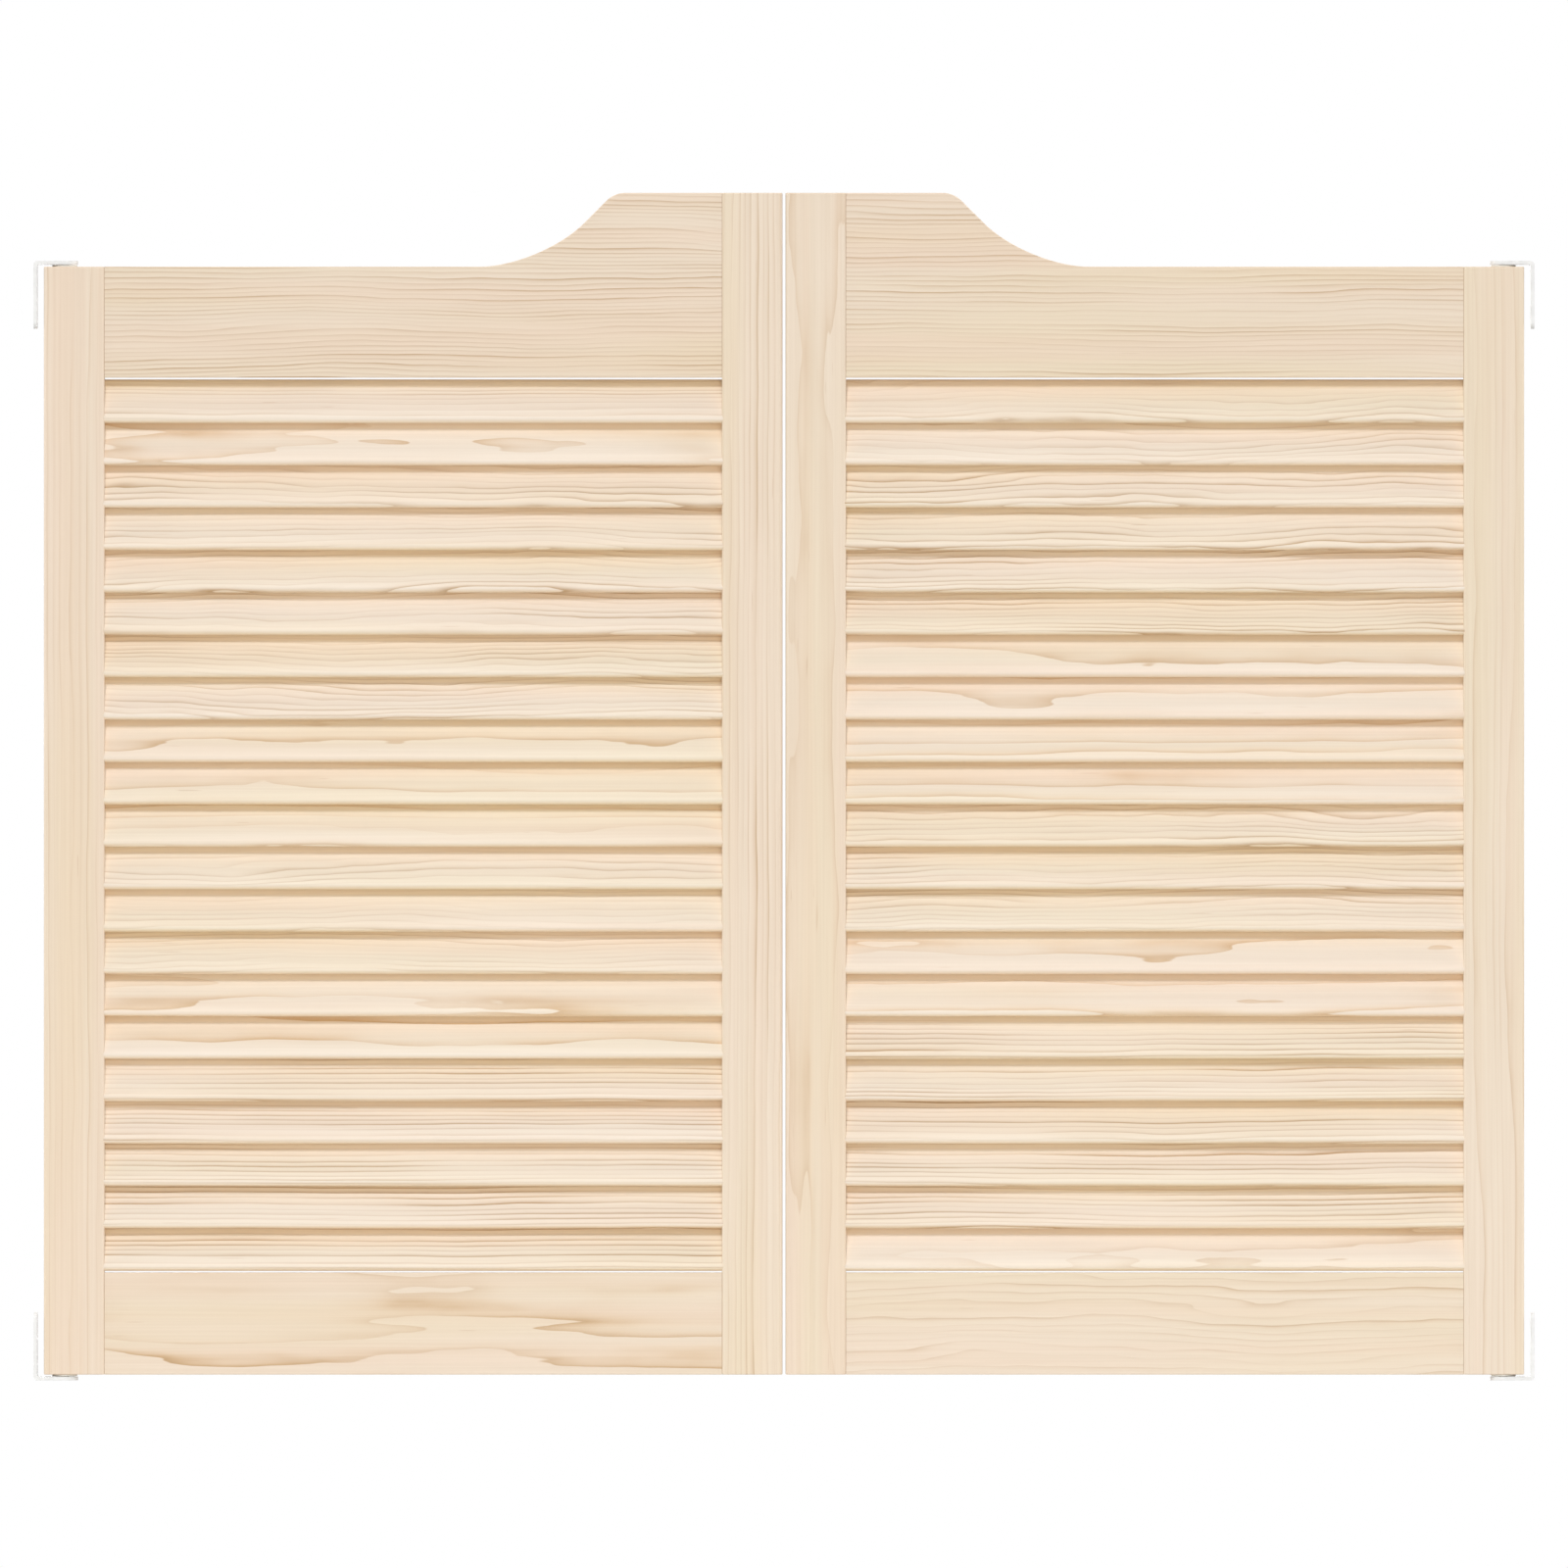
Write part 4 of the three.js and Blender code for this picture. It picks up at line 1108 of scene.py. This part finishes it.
class DOORS_OT_springs(bpy.types.Operator):
    """Model the return springs round the lower pins"""

    bl_idname = "doors.springs"
    bl_label = "Springs"

    def execute(self, context):
        hardware = context.scene.door_hardware
        spring = self.model(context)
        steel = fitting("bright_wire")
        top = hardware.coil_bottom + hardware.coil_height
        for side, piece, pivot_x in (
            ("left", spring, LEFT_PIVOT.x),
            ("right", mirrored_copy(spring), -LEFT_PIVOT.x),
        ):
            finish_piece(piece, f"{side}_return_spring", "wire", None, steel)
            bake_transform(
                piece, JAMBS, f"{side}_leaf",
                start=(pivot_x, 0.0, top), end=(pivot_x, 0.0, hardware.coil_bottom),
            )
        return {"FINISHED"}

    def model(self, context):
        """A round wire along the spring's path, as a mesh."""
        hardware = context.scene.door_hardware
        bpy.ops.object.select_all(action="DESELECT")
        bpy.ops.curve.primitive_nurbs_path_add()
        wire = bpy.context.object
        wire.data.splines.clear()
        spline = wire.data.splines.new("POLY")
        points = self.path(hardware)
        spline.points.add(len(points) - 1)
        for point, place in zip(spline.points, points):
            point.co = (*place, 1.0)
        wire.data.bevel_depth = hardware.wire_radius
        wire.data.bevel_resolution = 2
        wire.data.use_fill_caps = True
        bpy.ops.object.convert(target="MESH")
        bpy.ops.object.mode_set(mode="EDIT")
        bpy.ops.mesh.select_all(action="SELECT")
        bpy.ops.mesh.remove_doubles(threshold=TOUCHING)
        bpy.ops.mesh.normals_make_consistent(inside=False)
        bpy.ops.object.mode_set(mode="OBJECT")
        return wire

    def path(self, hardware):
        """The middle of the wire: a leg in the bush, the turns, and an end that crosses the pin."""
        radius, bend, height = hardware.coil_radius, hardware.wire_bend, hardware.coil_height
        points = [(radius, -bend, -bend - hardware.wire_leg)]
        for step in range(BEND_STEPS):
            turn = step / BEND_STEPS * math.pi / 2
            points.append((radius, -bend * math.cos(turn), bend * (math.sin(turn) - 1.0)))
        steps = hardware.coil_turns * TURN_STEPS
        for step in range(steps + 1):
            turn = step / TURN_STEPS * 2 * math.pi
            points.append((radius * math.cos(turn), radius * math.sin(turn), step / steps * height))
        crossing = crossing_angle(hardware)
        for step in range(1, BEND_STEPS + 1):
            turn = step / BEND_STEPS * crossing
            points.append((radius - bend * (1.0 - math.cos(turn)), bend * math.sin(turn), height))
        reach = hardware.pin_radius
        points.append((-reach * math.sin(crossing), reach * math.cos(crossing), height))
        return [(LEFT_PIVOT.x + x, y, hardware.coil_bottom + z) for x, y, z in points]


class DOORS_OT_screws(bpy.types.Operator):
    """Model one countersunk screw and copy it to every bracket hole"""

    bl_idname = "doors.screws"
    bl_label = "Screws"

    def execute(self, context):
        hardware = context.scene.door_hardware
        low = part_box("left_lower_bracket")[0]
        upper_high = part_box("left_upper_bracket")[1]
        screw = self.model(context, low)
        first, second = hardware.first_hole, hardware.second_hole
        heights = (low.z + first, low.z + second, upper_high.z - second, upper_high.z - first)
        for number, height in enumerate(heights, 1):
            piece = shifted_copy(screw, (0.0, 0.0, height - low.z - first))
            finish_pair(piece, f"screw_{number}", "zinc", JAMBS, fitting("zinc_plate"))
        bpy.data.objects.remove(screw)
        return {"FINISHED"}

    def model(self, context, low):
        """The screw in the first hole of the lower left-hand bracket."""
        hardware = context.scene.door_hardware
        face = low.x + hardware.sheet_thickness
        middle = Vector((0.0, 0.0, low.z + hardware.first_hole))
        fit = hardware.screw_fit
        screw = add_cone(
            middle, 0, face - hardware.sink_depth, face - fit,
            hardware.hole_radius - fit, hardware.sink_radius - 2 * fit, SCREW_CORNERS,
        )
        select_parts(screw, "FACE", lambda part: faces_along(part, 0, -1.0))
        extrude_by((hardware.sink_depth - hardware.sheet_thickness, 0.0, 0.0))
        round_edges(screw, lambda edge: lies_at(edge, 0, face - fit), hardware.edge_round / 2, SMALL_STEPS)
        narrow, wide = hardware.cross_width / 2, hardware.hole_radius
        for across, along in ((narrow, wide), (wide, narrow)):
            arm = add_block(
                (face - hardware.cross_depth, -across, middle.z - along),
                (face + OVERRUN, across, middle.z + along),
            )
            combine(screw, arm, "DIFFERENCE")
        return screw


class DOORS_OT_studio(bpy.types.Operator):
    """Set up the floor, the light and the camera"""

    bl_idname = "doors.studio"
    bl_label = "Studio"

    def execute(self, context):
        scene = context.scene
        scene.view_settings.view_transform = "Standard"
        self.lay_floor(scene)
        self.light(scene)
        self.light_sky(scene)
        self.place_camera(scene)
        return {"FINISHED"}

    def lay_floor(self, scene):
        """A pale round floor that fades out, and that can be seen through from below."""
        studio = scene.door_studio
        bpy.ops.object.select_all(action="DESELECT")
        bpy.ops.mesh.primitive_circle_add(
            vertices=FLOOR_CORNERS, radius=studio.floor_reach, fill_type="NGON",
            location=(0.0, 0.0, -studio.floor_drop),
        )
        floor = settle()
        floor.name = "floor"
        material, tree, shader = new_material("pale_floor")
        shader.inputs["Roughness"].default_value = 0.8
        place = add_node(tree, "ShaderNodeTexCoord", {}).outputs["Object"]
        mottle = add_node(tree, "ShaderNodeTexNoise", {"Vector": place, "Scale": 1.5}).outputs[0]
        darker = rgba([FLOOR_MOTTLE * value for value in studio.floor])
        feed(tree, shader.inputs["Base Color"], mix(tree, mottle, darker, rgba(studio.floor)))
        x, y, _ = split(tree, place)
        reach = calc(tree, "SQRT", add_squares(tree, x, y))
        fade = ramp(tree, reach, *(studio.floor_reach * part for part in FLOOR_FADE))
        below = add_node(tree, "ShaderNodeNewGeometry", {}).outputs["Backfacing"]
        clear = add_node(tree, "ShaderNodeBsdfTransparent", {}).outputs[0]
        inputs = {0: calc(tree, "MAXIMUM", fade, below), 1: shader.outputs[0], 2: clear}
        mixed = add_node(tree, "ShaderNodeMixShader", inputs)
        feed(tree, tree.nodes["Material Output"].inputs["Surface"], mixed.outputs[0])
        floor.data.materials.append(material)

    def light(self, scene):
        """A main lamp from the upper left in front, and broad lamps all round and overhead."""
        studio = scene.door_studio
        broad = (studio.broad_distance, studio.broad_width)
        lamps = {
            "key": (
                studio.key_share, studio.key_rise, studio.key_turn, studio.key_distance, studio.key_width,
            ),
            "fill": (studio.fill_share, studio.fill_rise, studio.fill_turn, *broad),
            "back": (studio.back_share, studio.back_rise, studio.back_turn, *broad),
            "left": (studio.side_share, studio.side_rise, math.pi / 2, *broad),
            "right": (studio.side_share, studio.side_rise, -math.pi / 2, *broad),
            "top": (studio.top_share, math.pi / 2, 0.0, *broad),
        }
        aim = Vector((0.0, 0.0, studio.aim_height))
        for name, (part, rise, turn, distance, width) in lamps.items():
            towards = Vector((
                -math.sin(turn) * math.cos(rise),
                -math.cos(turn) * math.cos(rise),
                math.sin(rise),
            ))
            bpy.ops.object.select_all(action="DESELECT")
            bpy.ops.object.light_add(type="AREA", location=aim + towards * distance)
            lamp = bpy.context.object
            lamp.name = f"{name}_lamp"
            lamp.rotation_euler = towards.to_track_quat("Z", "Y").to_euler()
            lamp.data.shape = "DISK"
            lamp.data.size = width
            lamp.data.energy = part * (math.pi * distance) ** 2
            lamp.visible_camera = False

    def light_sky(self, scene):
        """Even light from all round, in front of a white background."""
        world = bpy.data.worlds.new("studio_world")
        world.use_nodes = True
        scene.world = world
        tree = world.node_tree
        sky = tree.nodes["Background"]
        sky.inputs["Strength"].default_value = scene.door_studio.sky_share
        sky.inputs["Color"].default_value = WHITE
        white = add_node(tree, "ShaderNodeBackground", {"Color": WHITE, "Strength": 1.0})
        path = add_node(tree, "ShaderNodeLightPath", {}).outputs
        seen = calc(tree, "MAXIMUM", path["Is Camera Ray"], path["Is Glossy Ray"])
        seen = calc(tree, "MAXIMUM", seen, path["Is Transmission Ray"])
        inputs = {0: seen, 1: sky.outputs[0], 2: white.outputs[0]}
        mixed = add_node(tree, "ShaderNodeMixShader", inputs)
        feed(tree, tree.nodes["World Output"].inputs["Surface"], mixed.outputs[0])

    def place_camera(self, scene):
        """A long lens straight in front."""
        studio = scene.door_studio
        front = cad_box[0].y
        bpy.ops.object.select_all(action="DESELECT")
        bpy.ops.object.camera_add(
            location=(0.0, front - studio.camera_distance, studio.aim_height),
            rotation=(math.pi / 2, 0.0, 0.0),
        )
        camera = bpy.context.object
        camera.data.lens = camera.data.sensor_width * studio.camera_distance / studio.picture_width
        camera.data.clip_start = 0.1
        camera.data.clip_end = 2 * studio.camera_distance
        scene.camera = camera


STEPS = (
    DOORS_OT_stiles,
    DOORS_OT_rails,
    DOORS_OT_slats,
    DOORS_OT_brackets,
    DOORS_OT_bushes,
    DOORS_OT_springs,
    DOORS_OT_screws,
    DOORS_OT_studio,
)
GROUPS = {
    "door_joinery": JoinerySizes,
    "door_hardware": HardwareSizes,
    "door_finishes": Finishes,
    "door_studio": StudioSettings,
}


class DOORS_PT_panel(bpy.types.Panel):
    """The doors' steps, sizes and finishes in the sidebar"""

    bl_idname = "DOORS_PT_panel"
    bl_label = "Swing doors"
    bl_space_type = "VIEW_3D"
    bl_region_type = "UI"
    bl_category = "Doors"

    def draw(self, context):
        for step in STEPS:
            self.layout.operator(step.bl_idname)
        for name, group in GROUPS.items():
            box = self.layout.box()
            for value in group.__annotations__:
                box.prop(getattr(context.scene, name), value)


CLASSES = (*GROUPS.values(), *STEPS, DOORS_PT_panel)


def register():
    for item in CLASSES:
        bpy.utils.register_class(item)
    for name, group in GROUPS.items():
        setattr(bpy.types.Scene, name, PointerProperty(type=group))


def unregister():
    for name in GROUPS:
        delattr(bpy.types.Scene, name)
    for item in reversed(CLASSES):
        bpy.utils.unregister_class(item)


def main():
    """Model everything in order."""
    register()
    for step in STEPS:
        name = step.bl_idname.split(".")[1]
        getattr(bpy.ops.doors, name)()


if __name__ == "__main__":
    main()
